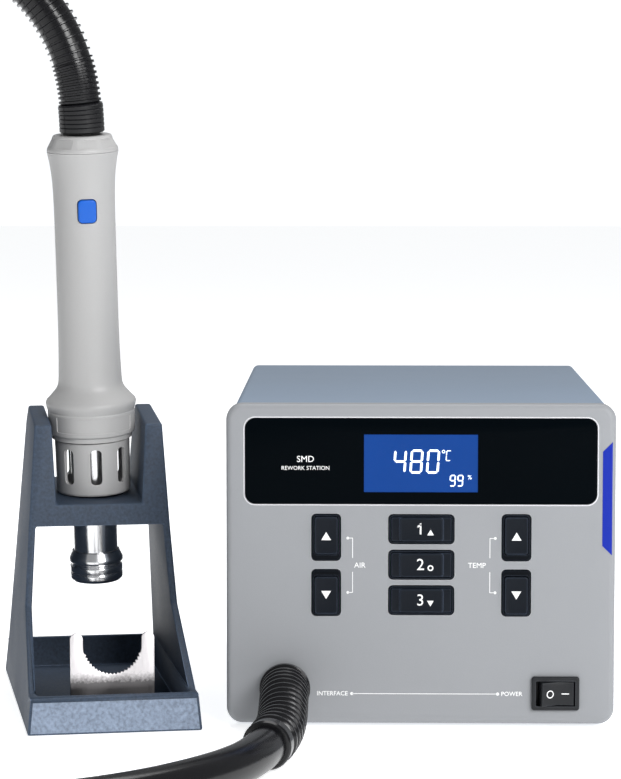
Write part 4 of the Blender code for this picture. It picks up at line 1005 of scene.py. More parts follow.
@dataclass
class Hose:
    """The air hose and its ribbed boots, in the part's own metres."""

    route: Sequence[Triple] = (
        (-0.0022, -0.1011, 0.0179), (-0.0020, -0.1291, 0.0166), (-0.0025, -0.1591, 0.0126),
        (-0.0060, -0.1851, 0.0112), (-0.0135, -0.2111, 0.0098), (-0.0335, -0.2441, 0.0089),
        (-0.0705, -0.2791, 0.0088), (-0.1245, -0.3011, 0.0088), (-0.1845, -0.2991, 0.0088),
        (-0.2355, -0.2681, 0.0088), (-0.2625, -0.2181, 0.0088), (-0.2680, -0.1691, 0.0088),
        (-0.2672, -0.1320, 0.0092), (-0.2662, -0.0991, 0.0155), (-0.2653, -0.0712, 0.0342),
        (-0.2646, -0.0525, 0.0620), (-0.2642, -0.0450, 0.0948), (-0.2640, -0.0400, 0.1480),
        (-0.2640, -0.0370, 0.2000), (-0.2635, -0.0355, 0.2500), (-0.2570, -0.0353, 0.2883),
        (-0.2383, -0.0352, 0.3207), (-0.2104, -0.0353, 0.3424), (-0.1775, -0.0355, 0.3500),
        (-0.1469, -0.0360, 0.3448), (-0.1204, -0.0371, 0.3275), (-0.1024, -0.0382, 0.2994),
        (-0.0971, -0.0369, 0.2732), (-0.0966, -0.0357, 0.2617),
    )
    radius: float = 0.0085
    end_gap: float = 0.0004
    blend_low: float = 0.035  # heights in metres
    blend_high: float = 0.25

    def build(self) -> None:
        self.curve = smooth_curve(self.route, 1600)
        steps = np.linalg.norm(np.diff(self.curve, axis=0), axis=1)
        self.along = np.concatenate([[0.0], np.cumsum(steps)])
        length = float(self.along[-1])
        marks = np.linspace(self.end_gap, length - self.end_gap, 300)
        hose = finished(
            self.swept(marks, np.full(len(marks), self.radius), 32), "air_hose_tube",
            HOSE_RUBBER, Matrix(), body="", replaces=["air_hose"],
        )
        station_boot = finished(
            self.swept(*self.station_boot_rings(), 40), "station_boot_ribbed", HOSE_RUBBER,
            Matrix(), replaces=["station_hose_boot"],
        )
        gun_boot = finished(
            self.swept(*self.gun_boot_rings(length), 40), "gun_boot_ribbed", HOSE_RUBBER,
            Matrix(), body="", replaces=["gun_hose_boot"],
        )
        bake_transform(hose)
        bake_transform(gun_boot)

    def points(self, marks: Sequence[float]) -> np.ndarray:
        """Returns the points of the route at some distances along it."""
        return np.stack([np.interp(marks, self.along, self.curve[:, k]) for k in range(3)], axis=1)

    def station_boot_rings(self) -> tuple[np.ndarray, np.ndarray]:
        """Returns distances and radii of the boot at the panel: collar, ribs and end ring."""
        marks, radii = [0.0004, 0.0012], [0.0094, 0.0104]
        marks += [0.0020, 0.0042, 0.0050]
        radii += [0.0112, 0.0112, 0.0098]
        ribs, first, pitch = 13, 0.0068, 0.0060
        for k in range(ribs):
            at = first + k * pitch
            marks += [at, at + 0.0008, at + 0.0016, at + 0.0026, at + 0.0034, at + 0.0042]
            radii += [0.0087, 0.0101, 0.0107, 0.0107, 0.0101, 0.0087]
        end = first + ribs * pitch
        marks += [end, end + 0.0006, end + 0.0056, end + 0.0066, end + 0.0068]
        radii += [0.0092, 0.0103, 0.0105, 0.0099, 0.0083]
        return np.array(marks), np.array(radii)

    def gun_boot_rings(self, length: float) -> tuple[np.ndarray, np.ndarray]:
        """Returns distances and radii of the boot at the gun, from its far fins to the cap.

        Args:
            length: The hose's length.

        Returns:
            Distances along the hose, growing, and the radius at each.
        """
        back, radii = [self.end_gap, 0.0010], [0.0096, 0.0103]
        for k in range(6):
            at = 0.0030 + k * 0.0020
            back += [at - 0.0003, at, at + 0.0003]
            radii += [0.0103, 0.0100, 0.0103]
        closed_fins, open_fins = 8, 14
        at = 0.0140
        for k in range(closed_fins + open_fins):
            valley = 0.0087 if k < closed_fins else 0.0086
            thick = 0.0012 if k < closed_fins else 0.0009
            step = 0.0023 if k < closed_fins else 0.0033
            back += [at, at + 0.0003, at + thick, at + thick + 0.0003]
            radii += [valley, 0.0097, 0.0097, valley]
            at += step
        distances = length - np.array(back)
        return distances[::-1], np.array(radii)[::-1]

    def swept(self, marks: np.ndarray, radii: np.ndarray, sides: int) -> bmesh.types.BMesh:
        """Sweeps a circle of changing radius along the route.

        Args:
            marks: Distances along the route.
            radii: The radius at each.
            sides: Faces around it.

        Returns:
            The tube, closed at both ends.
        """
        points = self.points(marks)
        step = 0.0004
        ahead = self.points(np.clip(marks + step, 0.0, self.along[-1]))
        behind = self.points(np.clip(marks - step, 0.0, self.along[-1]))
        shape = bmesh.new()
        turn = Vector(ahead[0] - behind[0]).to_track_quat("Z", "Y").to_matrix()
        made = bmesh.ops.create_circle(shape, cap_ends=False, radius=1.0, segments=sides)
        ring = made["verts"]
        edges = list(shape.edges)
        before = Matrix()
        first_edges = edges
        for k, (point, radius) in enumerate(zip(points, radii)):
            direction = Vector(ahead[k] - behind[k]).normalized()
            turn = turn.col[2].rotation_difference(direction).to_matrix() @ turn
            here = Matrix.Translation(point) @ turn.to_4x4() @ Matrix.Scale(radius, 4)
            if k:
                grown = bmesh.ops.extrude_edge_only(shape, edges=edges)["geom"]
                ring = [item for item in grown if isinstance(item, bmesh.types.BMVert)]
                edges = [item for item in grown if isinstance(item, bmesh.types.BMEdge)]
            bmesh.ops.transform(shape, matrix=here @ before.inverted(), verts=ring)
            before = here
        bmesh.ops.edgeloop_fill(shape, edges=first_edges)
        bmesh.ops.edgeloop_fill(shape, edges=edges)
        bmesh.ops.recalc_face_normals(shape, faces=shape.faces)
        return shape


# --- main unit ---------------------------------------------------------------------------------


@dataclass
class MainUnit:
    """The main unit's casing: bezel, cover, rear fittings, feet and screws."""

    frames: Frames
    width: float = 171.0
    height: float = 139.5
    foot_height: float = 4.0
    depth: float = 215.0
    panel_thick: float = 3.5
    bezel_depth: float = 7.0
    bezel_wall: float = 2.0
    bezel_drop: float = 2.4  # how far the front reaches below the casing
    corner: float = 7.0
    edge: float = 2.8
    window: Triple = (154.0, 37.5, 118.4)  # width, height, middle
    outlet: Pair = (-59.7, 17.9)
    outlet_radius: float = 10.3

    def build(self, key_openings: Sequence[bmesh.types.BMesh]) -> None:
        """Makes the casing.

        Args:
            key_openings: Cutters for the keys and the switch.
        """
        self.make_bezel(key_openings)
        self.make_cover()
        self.make_feet()
        self.make_screws()
        self.make_inlet()
        self.make_fuse()
        self.make_label()

    def middle(self) -> float:
        """Returns the height of the panel's middle."""
        return self.foot_height + self.height / 2

    def make_bezel(self, key_openings: Sequence[bmesh.types.BMesh]) -> None:
        """Makes the moulded front with its openings.

        Args:
            key_openings: Cutters for the keys and the switch.
        """
        y = self.bezel_depth / 2
        body = slab(
            (self.width, self.bezel_depth, self.height + self.bezel_drop),
            (0, y, self.middle() - self.bezel_drop / 2), self.corner, self.edge,
        )
        wall = 2 * self.bezel_wall
        deep = self.bezel_depth - self.panel_thick + 1
        hollow = slab(
            (self.width - wall, deep, self.height - wall),
            (0, self.panel_thick + deep / 2, self.middle()), self.corner - self.bezel_wall,
        )
        width, height, z = self.window
        recess = slab((width + 0.6, 4.0, height + 0.6), (0, 0, z), 4.6)
        outlet = along_y(
            turned([(0, -6), (self.outlet_radius, -6), (self.outlet_radius, 6), (0, 6)], steps=64),
            self.outlet[0], 0, self.outlet[1],
        )
        body = carved(body, hollow, recess)
        body = carved(body, outlet, *key_openings)
        finished(
            body, "front_bezel_shell", PANEL_GREY, self.frames.unit, replaces=["front_bezel"],
        )
        # thin paler ring round the window: painted highlight on the recess's raised edge
        rim = carved(
            slab((width + 1.7, 0.36, height + 1.7), (0, 0.08, z), 5.0, 0.12),
            slab((width + 0.7, 2.0, height + 0.7), (0, 0, z), 4.6),
        )
        finished(rim, "window_rim", PAINTED_HIGHLIGHT_GREY, self.frames.unit)

    def make_cover(self) -> None:
        """Makes the folded sheet-metal cover, open at its bottom and ends."""
        low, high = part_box("top_cover")
        to_unit = self.frames.unit.inverted()
        low, high = to_unit @ low, to_unit @ high
        shape = bmesh.new()
        corners = [(low.x, low.z), (low.x, high.z), (high.x, high.z), (high.x, low.z)]
        verts = [shape.verts.new((x, low.y, z)) for x, z in corners]
        edges = [shape.edges.new(pair) for pair in zip(verts, verts[1:])]
        grown = bmesh.ops.extrude_edge_only(shape, edges=edges)["geom"]
        ends = [item for item in grown if isinstance(item, bmesh.types.BMVert)]
        bmesh.ops.translate(shape, vec=(0.0, high.y - low.y, 0.0), verts=ends)
        folds = [e for e in shape.edges if len(e.link_faces) == 2]
        bevel(shape, folds, 3.0, 8)
        bmesh.ops.recalc_face_normals(shape, faces=shape.faces)
        if sum(face.normal.z * face.calc_area() for face in shape.faces) < 0:
            bmesh.ops.reverse_faces(shape, faces=shape.faces)
        bmesh.ops.solidify(shape, geom=list(shape.faces), thickness=1.2)
        bmesh.ops.recalc_face_normals(shape, faces=shape.faces)
        bevel(shape, sharp_edges(shape, 1.0), 0.25, 2)
        finished(
            shape, "top_cover_shell", COVER_PAINT, self.frames.unit, replaces=["top_cover"],
        )

    def make_feet(self) -> None:
        """Makes the four rubber feet, each with a dished sole."""
        radius, height = 8.0, 3.7
        profile = [
            (0, 0.5), (4.0, 0.4), (5.2, 0.0), (6.8, 0.0), (7.7, 0.8), (radius, height), (0, height)
        ]
        for number in range(1, 5):
            low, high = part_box(f"rubber_foot_{number}")
            place = Matrix.Translation(((low.x + high.x) / 2, (low.y + high.y) / 2, 0.0))
            finished(
                turned(filleted(profile, 0.4), steps=48), f"rubber_foot_{number}_pad", FOOT_RUBBER,
                place @ Matrix.Scale(MM, 4), replaces=[f"rubber_foot_{number}"],
            )

    def make_screws(self) -> None:
        """Makes the cover's four pan-head screws, with crossed recesses."""
        head = [(0, 0), (1.4, 0), (1.4, 6.0), (2.9, 6.0), (2.9, 6.7), (2.2, 7.5), (0, 7.8)]
        for number in range(1, 5):
            low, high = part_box(f"cover_screw_{number}")
            centre = (low + high) / 2
            side = Side.LEFT if (self.frames.unit.inverted() @ centre).x < 0 else Side.RIGHT
            tip = high.x if side is Side.LEFT else low.x
            screw = carved(
                turned(filleted(head, 0.3), steps=40),
                block((0.7, 3.4, 1.6), (0, 0, 7.7)),
            )
            screw = carved(screw, block((3.4, 0.7, 1.6), (0, 0, 7.7)))
            turn = Matrix.Rotation(side.value * math.pi / 2, 4, "Y")
            place = Matrix.Translation((tip, centre.y, centre.z)) @ turn @ Matrix.Scale(MM, 4)
            finished(
                screw, f"cover_screw_{number}_head", SCREW_STEEL, place,
                replaces=[f"cover_screw_{number}"],
            )

    def make_inlet(self) -> None:
        """Makes the mains inlet: flange, six-sided well, three pins and two screws."""
        low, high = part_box("mains_inlet")
        to_unit = self.frames.unit.inverted()
        low, high = to_unit @ low, to_unit @ high
        x, z, face = (low.x + high.x) / 2, (low.z + high.z) / 2, high.y
        flange = moved(
            slab((48.0, 2.0, 23.0), (0, 1.0, 0), 4.0, 0.5), Matrix.Rotation(math.pi, 4, "Z")
        )
        body = merged(flange, slab((27.2, 18.0, 19.6), (0, -11.0, 0), 0.8))
        half_w, half_h, cut = 11.25, 7.25, 3.6
        well = [(-half_w, -half_h), (half_w, -half_h), (half_w, half_h - cut)]
        well += [(half_w - cut, half_h), (cut - half_w, half_h), (-half_w, half_h - cut)]
        body = carved(body, plate(well, -15.0, 1.0))
        shift = Matrix.Translation((x, face, z))
        finished(
            body, "mains_inlet_shell", SWITCH_BLACK, self.frames.unit @ shift,
            replaces=["mains_inlet"],
        )
        pins = []
        for pin_x, pin_z in ((-7.0, -2.0), (0.0, 2.0), (7.0, -2.0)):
            pin = block((1.8, 11.0, 4.0), (pin_x, -9.6, pin_z))
            bevel(pin, sharp_edges(pin), 0.4, 2)
            pins.append(pin)
        finished(
            merged(*pins), "mains_inlet_pins", PIN_BRASS, self.frames.unit @ shift
        )
        screws = []
        for side in Side:
            profile = filleted([(0, 0), (2.9, 0), (2.9, 0.6), (2.0, 1.3), (0, 1.5)], 0.3)
            screw = turned(profile, steps=36)
            screw = carved(screw, block((4.0, 0.7, 1.2), (0, 0, 1.5)))
            screws.append(moved(
                screw,
                Matrix.Translation((side.value * 19.5, 0, 0))
                @ Matrix.Rotation(-math.pi / 2, 4, "X"),
            ))
        finished(
            merged(*screws), "mains_inlet_screws", SCREW_STEEL, self.frames.unit @ shift,
        )

    def make_fuse(self) -> None:
        """Makes the fuse holder with a fluted, slotted cap."""
        low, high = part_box("fuse_holder")
        to_unit = self.frames.unit.inverted()
        low, high = to_unit @ low, to_unit @ high
        x, z, seat = (low.x + high.x) / 2, (low.z + high.z) / 2, high.y - 8.7
        profile = [(0, -24.0), (6.2, -24.0), (6.2, 0), (8.0, 0), (8.0, 6.0), (7.0, 8.7), (0, 8.7)]
        body = turned(filleted(profile, 0.6), steps=72)
        flutes = [
            moved(
                turned([(0, 1.6), (0.8, 1.6), (0.8, 10.0), (0, 10.0)], steps=12),
                Matrix.Rotation(k * TAU / 16, 4, "Z") @ Matrix.Translation((8.3, 0, 0)),
            )
            for k in range(16)
        ]
        body = carved(body, *flutes)
        body = carved(body, block((9.0, 1.4, 3.0), (0, 0, 8.7)))
        place = Matrix.Translation((x, seat, z)) @ Matrix.Rotation(-math.pi / 2, 4, "X")
        finished(
            body, "fuse_holder_cap", SWITCH_BLACK, self.frames.unit @ place,
            replaces=["fuse_holder"],
        )

    def make_label(self) -> None:
        """Makes the plain blue label with slanted ends on the front's right edge."""
        left, right, low, high, slant = 79.6, 83.9, 77.0, 127.0, 4.2
        shape = bmesh.new()
        corners = [(left, low + slant), (right, low), (right, high), (left, high - slant)]
        shape.faces.new([shape.verts.new((x, 0.0, z)) for x, z in corners])
        bmesh.ops.subdivide_edges(shape, edges=list(shape.edges), cuts=9, use_grid_fill=True)
        flat = self.width / 2 - self.edge
        for vert in shape.verts:
            over = min(max(vert.co.x - flat, 0.0), self.edge)
            vert.co.y = self.edge - math.sqrt(self.edge**2 - over**2) - 0.05
        grown = bmesh.ops.extrude_face_region(shape, geom=list(shape.faces))["geom"]
        outer = [item for item in grown if isinstance(item, bmesh.types.BMVert)]
        bmesh.ops.translate(shape, vec=(0.0, -0.08, 0.0), verts=outer)
        bmesh.ops.recalc_face_normals(shape, faces=shape.faces)
        finished(shape, "edge_label", LABEL_BLUE, self.frames.unit)


# --- front controls ----------------------------------------------------------------------------


SEGMENTS = {
    "0": "abcdef", "4": "bcfg", "8": "abcdefg", "9": "abcdfg", "C": "adef",
}


@dataclass
class Display:
    """The gloss window with its lit screen."""

    frames: Frames
    width: float = 154.0
    height: float = 37.5
    middle: float = 118.4
    proud: float = 0.3
    thick: float = 2.0
    screen: Pair = (50.0, 25.5)
    screen_z: float = 117.45
    sink: float = 0.25  # of the screen behind the window's face

    def build(self) -> None:
        """Makes the window, the screen, its figures and the window's lettering."""
        window = slab(
            (self.width, self.thick, self.height),
            (0, self.thick / 2 - self.proud, self.middle), 4.3, 0.4,
        )
        width, height = self.screen
        window = carved(window, slab(
            (width, 2 * (self.sink + 0.1), height), (0, -self.proud, self.screen_z), 0.3,
        ))
        finished(
            window, "display_window_gloss", WINDOW_BLACK, self.frames.unit,
            replaces=["display_window"],
        )
        face = self.sink - self.proud
        screen = slab((width - 0.1, 0.1, height - 0.1), (0, face + 0.05, self.screen_z), 0.25)
        finished(screen, "lcd_screen", SCREEN_BLUE, self.frames.unit)
        figures = [
            *self.number("480", -9.2, 118.3, 4.6, 9.6, 7.25, 1.0, face),
            hoop(9.9, 122.7, 0.75, 0.32, face),
            *self.number("C", 12.1, 120.9, 1.9, 4.3, 3.0, 0.42, face),
            *self.number("99", 13.9, 109.9, 2.1, 4.6, 3.35, 0.55, face),
            lettering("%", 2.7, (21.4, face, 111.3), 0.0),
        ]
        finished(merged(*figures), "lcd_figures", SCREEN_WHITE, self.frames.unit)
        words = [
            lettering("SMD", 3.9, (-50.6, -self.proud, 119.2)),
            lettering("REWORK STATION", 2.45, (-50.6, -self.proud, 115.3)),
        ]
        finished(
            merged(*words), "window_print", PRINT_WHITE, self.frames.unit
        )

    def number(
        self, text: str, x: float, z: float, width: float, height: float, pitch: float,
        thick: float, face: float,
    ) -> list[bmesh.types.BMesh]:
        """Makes slanted seven-segment figures.

        Args:
            text: The figures.
            x: Middle of the first one.
            z: Middle height.
            width: Width of a figure.
            height: Its height.
            pitch: From one figure to the next.
            thick: Width of a segment.
            face: The surface that they lie on.

        Returns:
            One shape for each segment.
        """
        half_w, half_h, slant = width / 2, height / 2, 0.07
        ends = {
            "a": ((-half_w, half_h), (half_w, half_h)), "g": ((-half_w, 0), (half_w, 0)),
            "d": ((-half_w, -half_h), (half_w, -half_h)), "f": ((-half_w, 0), (-half_w, half_h)),
            "b": ((half_w, 0), (half_w, half_h)), "e": ((-half_w, -half_h), (-half_w, 0)),
            "c": ((half_w, -half_h), (half_w, 0)),
        }
        shapes = []
        for k, figure in enumerate(text):
            for segment in SEGMENTS[figure]:
                first, last = (Vector(end) for end in ends[segment])
                run = (last - first).normalized()
                across = Vector((-run.y, run.x)) * thick / 2
                first, last = first + run * thick * 0.12, last - run * thick * 0.12
                inset = run * thick / 2
                outline = [first, first + inset - across, last - inset - across]
                outline += [last, last - inset + across, first + inset + across]
                shapes.append(mark(
                    [(x + k * pitch + p.x + slant * p.y, z + p.y) for p in outline], face
                ))
        return shapes


@dataclass
class Controls:
    """The keys with their frames and marks, and the printed lines beside them."""

    frames: Frames
    arrow_key: Pair = (10.2, 16.6)
    arrow_rim: Pair = (1.2, 1.9)
    arrow_shift: float = 1.0
    arrow_places: dict[str, Pair] = field(
        default_factory=lambda: {"air": (-41.5, 72.45), "temp": (42.0, 72.45)}
    )
    arrow_reach: float = 12.25  # from a pair's middle to each frame's middle
    channel_key: Pair = (26.6, 10.8)
    channel_rim: float = 1.0
    channel_x: float = 0.3
    channel_z: Triple = (88.4, 72.65, 56.9)
    raised: float = 19.0
    proud: float = 2.0
    wing: float = 0.7
    back: float = 6.4
    frame_proud: float = 0.5
    panel_thick: float = 3.5

    def openings(self) -> list[bmesh.types.BMesh]:
        """Returns cutters for the bezel, a little larger than the key frames."""
        cutters = []
        for x, z in (*self.arrow_centres().values(), *self.channel_centres().values()):
            width, height = self.frame_size(x, z)
            cutters.append(slab((width + 0.6, 14.0, height + 0.6), (x, 0, z), 2.2))
        return cutters

    def arrow_centres(self) -> dict[str, Pair]:
        """Returns the middle of each arrow key's frame."""
        return {
            f"{group}_{way.name.lower()}": (x, z + way.value * self.arrow_reach)
            for group, (x, z) in self.arrow_places.items()
            for way in Way
        }

    def channel_centres(self) -> dict[str, Pair]:
        """Returns the middle of each channel key."""
        return {f"channel_{k + 1}": (self.channel_x, z) for k, z in enumerate(self.channel_z)}

    def frame_size(self, x: float, z: float) -> Pair:
        """Returns the size of the frame whose middle is at a place."""
        if (x, z) in self.arrow_centres().values():
            width, height = self.arrow_key
            return width + 2 * self.arrow_rim[0], height + 2 * self.arrow_rim[1]
        width, height = self.channel_key
        return width + 2 * self.channel_rim, height + 2 * self.channel_rim

    def build(self) -> None:
        """Makes every key and the panel's print."""
        for name, (x, z) in self.arrow_centres().items():
            self.make_arrow_key(name, x, z, Way.UP if name.endswith("up") else Way.DOWN)
        for name, (x, z) in self.channel_centres().items():
            self.make_channel_key(name, x, z)
        self.make_print()

    def make_frame(
        self, name: str, x: float, z: float, key: Pair, key_z: float, corner: float
    ) -> None:
        """Makes the raised frame around a key.

        Args:
            name: The key's name.
            x: The frame's middle.
            z: The frame's middle height.
            key: The key's size.
            key_z: The key's middle height.
            corner: Radius of the frame's corners.
        """
        width, height = self.frame_size(x, z)
        deep = self.panel_thick + self.frame_proud
        y = deep / 2 - self.frame_proud
        ring = carved(
            slab((width, deep, height), (x, y, z), corner, 0.45),
            slab((key[0] + 0.7, 3 * deep, key[1] + 0.7), (x, y, key_z), 1.3),
        )
        finished(
            ring, f"{name}_frame_ring", KEY_FRAME_BLACK, self.frames.unit,
            replaces=[f"{name}_key_frame"],
        )

    def make_arrow_key(self, name: str, x: float, z: float, way: Way) -> None:
        """Makes one arrow key: a dished cap that slopes down towards its pair's middle.

        Args:
            name: The key's name.
            x: Its frame's middle.
            z: Its frame's middle height.
            way: Which way it points.
        """
        key_z = z + way.value * self.arrow_shift
        self.make_frame(name, x, z, self.arrow_key, key_z, 2.0)
        width, height = self.arrow_key
        deep = self.proud + self.back
        cap = slab((width, deep, height), (x, self.back - deep / 2, key_z), 1.2)
        front = front_face(cap)
        bmesh.ops.inset_region(cap, faces=[front], thickness=0.9, depth=-0.28)
        bevel(cap, edges_at(cap, 1, -self.proud), 0.55, 4)
        body = f"{name}_key"
        finished(cap, f"{name}_cap", KEY_BLACK, self.frames.unit, body, [body])
        symbol = arrow(x, key_z - way.value * 0.2, 4.3, 3.6, way, 0.28 - self.proud)
        finished(symbol, f"{name}_mark", PRINT_WHITE, self.frames.unit, body)

    def make_channel_key(self, name: str, x: float, z: float) -> None:
        """Makes one channel key, with a raised middle between two lower wings.

        Args:
            name: The key's name.
            x: Its middle.
            z: Its middle height.
        """
        self.make_frame(name, x, z, self.channel_key, z, 1.6)
        width, height = self.channel_key
        cap = slab(
            (width, self.back + self.wing, height), (x, (self.back - self.wing) / 2, z), 0.9, 0.4
        )
        crown_depth = self.proud + 1.0
        crown = slab(
            (self.raised, crown_depth, height - 0.3), (x, crown_depth / 2 - self.proud, z), 1.3
        )
        front = front_face(crown)
        bmesh.ops.inset_region(crown, faces=[front], thickness=1.2, depth=-0.22)
        bevel(crown, edges_at(crown, 1, -self.proud), 0.6, 4)
        body = f"{name}_key"
        finished(
            merged(cap, crown), f"{name}_cap", KEY_BLACK, self.frames.unit, body, [body],
        )
        face = 0.22 - self.proud
        digit = name[-1]
        signs = {
            "1": lambda: merged(
                arrow(x + 4.0, z - 1.2, 2.9, 2.5, Way.UP, face),
                mark([
                    (x - 1.7, z + 0.9), (x - 0.1, z + 1.8), (x - 0.1, z + 2.6), (x - 1.7, z + 1.7),
                ], face),
            ),
            "2": lambda: hoop(x + 4.0, z - 1.2, 1.3, 0.55, face),
            "3": lambda: arrow(x + 4.0, z - 1.2, 2.9, 2.5, Way.DOWN, face),
        }
        symbols = merged(lettering(digit, 7.2, (x - 0.4, face, z + 0.1)), signs[digit]())
        finished(symbols, f"{name}_mark", PRINT_WHITE, self.frames.unit, body)

    def make_print(self) -> None:
        """Makes the white lines, dots and words on the panel."""
        face = 0.0
        shapes = []
        words = {"air": ("AIR", -26.7, -32.0, -29.9), "temp": ("TEMP", 24.7, 32.7, 30.4)}
        line, high, low, gap_high, gap_low = 0.28, 84.4, 60.3, 75.8, 69.3
        for word, word_x, dot_x, line_x in words.values():
            shapes.append(lettering(word, 3.3, (word_x, face, 72.3), 0.0))
            for level, inner in ((high, gap_high), (low, gap_low)):
                shapes.append(dot(dot_x, level, 0.62, face))
                shapes.append(stroke((dot_x + line_x) / 2, level, abs(dot_x - line_x), line, face))
                shapes.append(
                    stroke(line_x, (level + inner) / 2, line, abs(level - inner) + line, face)
                )
        z = 15.2
        shapes.append(lettering("INTERFACE", 2.7, (-38.8, face, z), 0.02))
        shapes.append(lettering("POWER", 2.7, (40.3, face, z), 0.02))
        left, right = -30.2, 34.1
        shapes.append(stroke((left + right) / 2, z, right - left, line, face))
        shapes += [dot(left, z, 0.7, face), dot(right, z, 0.7, face)]
        finished(
            merged(*shapes), "panel_print", PRINT_WHITE, self.frames.unit
        )


@dataclass
class PowerSwitch:
    """The power rocker switch."""

    frames: Frames
    x: float = 59.5
    z: float = 15.7
    bezel: Pair = (21.0, 15.0)
    body: Pair = (19.4, 13.2)
    well: Pair = (17.4, 11.2)
    proud: float = 2.0
    well_depth: float = 6.0
    body_depth: float = 14.0
    axis_y: float = 2.0
    reach: float = 7.4
    rise: float = 3.4
    valley: float = 3.6
    tilt: float = math.radians(12)

    def opening(self) -> bmesh.types.BMesh:
        """Returns the cutter for the switch's hole in the bezel."""
        return slab((self.body[0] + 0.6, 14.0, self.body[1] + 0.6), (self.x, 0, self.z), 0.8)

    def build(self) -> None:
        """Makes the switch's body, its rocker and the rocker's marks."""
        self.make_body()
        self.make_rocker()

    def make_body(self) -> None:
        """Makes the body with its raised bezel."""
        rim_depth = self.proud - 0.3
        rim = slab(
            (self.bezel[0], rim_depth, self.bezel[1]),
            (self.x, -self.proud + rim_depth / 2, self.z), 1.2, 0.7,
        )
        well = slab(
            (self.well[0], 20.0, self.well[1]), (self.x, self.well_depth - 10.0, self.z), 0.5
        )
        deep = self.body_depth + 0.3
        block_behind = slab(
            (self.body[0], deep, self.body[1]), (self.x, deep / 2 - 0.3, self.z), 0.5
        )
        well_behind = slab(
            (self.well[0], 20.0, self.well[1]), (self.x, self.well_depth - 10.0, self.z), 0.5
        )
        whole = merged(carved(rim, well), carved(block_behind, well_behind))
        finished(
            whole, "power_switch_shell", SWITCH_BLACK, self.frames.unit,
            replaces=["power_switch_body"],
        )

    def make_rocker(self) -> None:
        """Makes the rocker, pressed in on its right, and prints its two marks."""
        tip = -self.axis_y - self.rise
        half = [(self.reach, 1.2), (self.reach, tip + 0.4), (self.reach - 0.5, tip)]
        outline = half + [(0.0, -self.valley)] + [(-u, v) for u, v in reversed(half)]
        shape = bmesh.new()
        face = shape.faces.new([shape.verts.new((u, v, 0.0)) for u, v in outline])
        height = self.well[1] - 0.8
        grown = bmesh.ops.extrude_face_region(shape, geom=[face])["geom"]
        top = [item for item in grown if isinstance(item, bmesh.types.BMVert)]
        bmesh.ops.translate(shape, vec=(0.0, 0.0, height), verts=top)
        bmesh.ops.translate(shape, vec=(0.0, 0.0, -height / 2), verts=shape.verts)
        bmesh.ops.recalc_face_normals(shape, faces=shape.faces)
        bevel(shape, sharp_edges(shape, 0.7), 0.5, 3)
        place = Matrix.Translation((self.x, self.axis_y, self.z))
        place = self.frames.unit @ place @ Matrix.Rotation(self.tilt, 4, "Z")
        finished(
            shape, "power_rocker_paddle", SWITCH_BLACK, place, "power_rocker", ["power_rocker"],
        )
        slope = math.atan2(-tip - self.valley, self.reach - 0.5)
        middle = (self.reach - 0.5) / 2
        marks = []
        symbols = {
            Side.LEFT: hoop(0, 0, 1.75, 0.42, 0), Side.RIGHT: stroke(0, 0, 3.3, 0.45, 0),
        }
        for side, symbol in symbols.items():
            level = -self.valley - middle * math.tan(slope)
            turn = Matrix.Rotation(-side.value * slope, 4, "Z")
            marks.append(moved(symbol, Matrix.Translation((side.value * middle, level, 0)) @ turn))
        finished(
            merged(*marks), "power_rocker_marks", PRINT_WHITE, place, "power_rocker",
        )


# --- stand -------------------------------------------------------------------------------------


@dataclass
class Stand:
    """The stand and its nozzle rest."""

    frames: Frames
    nodes: dict[str, bpy.types.Object]
    edge: float = 1.0
    base_width: float = 77.0
    base_height: float = 16.5
    base_draft: float = 1.5
    plate_width: float = 37.2
    plate_height: float = 40.0
    plate_thick: float = 1.4
    plate_y: float = 13.0
    plate_foot: float = 2.5
    notch_radius: float = 13.0
    notch_z: float = 34.2
    arm: float = 5.6
    teeth: int = 24
    tooth: float = 0.75

    def build(self) -> None:
        """Makes the stand and the rest plate."""
        body = softened_copy(self.nodes["stand_body"], self.edge * MM)
        finished(
            body, "stand_body_moulding", STAND_BLUE, Matrix(), replaces=["stand_body"],
            smooth=40.0,
        )
        self.make_painted_light_front()
        self.make_rest()

    def make_painted_light_front(self) -> None:
        """Makes a coarse-grained sheet on the sloping front of the base, in a paler tone of the
        stand's plastic: painted light where that front is lit brighter.
        """
        low, high = 0.9, self.base_height - 2.3
        slope = self.base_draft / self.base_height
        half = self.base_width / 2 - 1.3
        corners = [(-half, low), (half, low)]
        corners += [(half - slope * high, high), (slope * high - half, high)]
        # paler sheet over the front: painted light
        painted_light_shape = plate(corners, -0.14, 0.4)
        for vert in painted_light_shape.verts:
            vert.co.y += slope * vert.co.z
        finished(
            painted_light_shape, "stand_front_field", TRAY_FRONT_PAINTED_LIGHT, self.frames.stand
        )

    def make_rest(self) -> None:
        """Makes the upright steel plate with a toothed half-round notch."""
        half, round_r = self.plate_width / 2, self.arm / 2
        right = []
        for k in range(17):
            angle = k / 16 * math.pi
            right.append((
                half - round_r + round_r * math.cos(angle),
                self.plate_height - round_r + round_r * math.sin(angle),
            ))
        notch = []
        count = 2 * self.teeth
        for k in range(count + 1):
            angle = -math.pi * k / count
            radius = self.notch_radius - (self.tooth if k % 2 and 3 < k < count - 3 else 0.0)
            notch.append((radius * math.cos(angle), self.notch_z + radius * math.sin(angle)))
        left = [(-u, v) for u, v in reversed(right)]
        outline = [(-half, 0.0), (half, 0.0)] + right + notch + left
        shape = plate(outline, -self.plate_thick / 2, self.plate_thick / 2)
        bevel(shape, edges_at(shape, 1, -self.plate_thick / 2), 0.16, 2)
        place = Matrix.Translation((0.0, self.plate_y, self.plate_foot))
        finished(
            shape, "nozzle_rest_steel", PLATE_STEEL, self.frames.stand @ place,
            replaces=["nozzle_rest_plate"],
        )


# --- gun ---------------------------------------------------------------------------------------


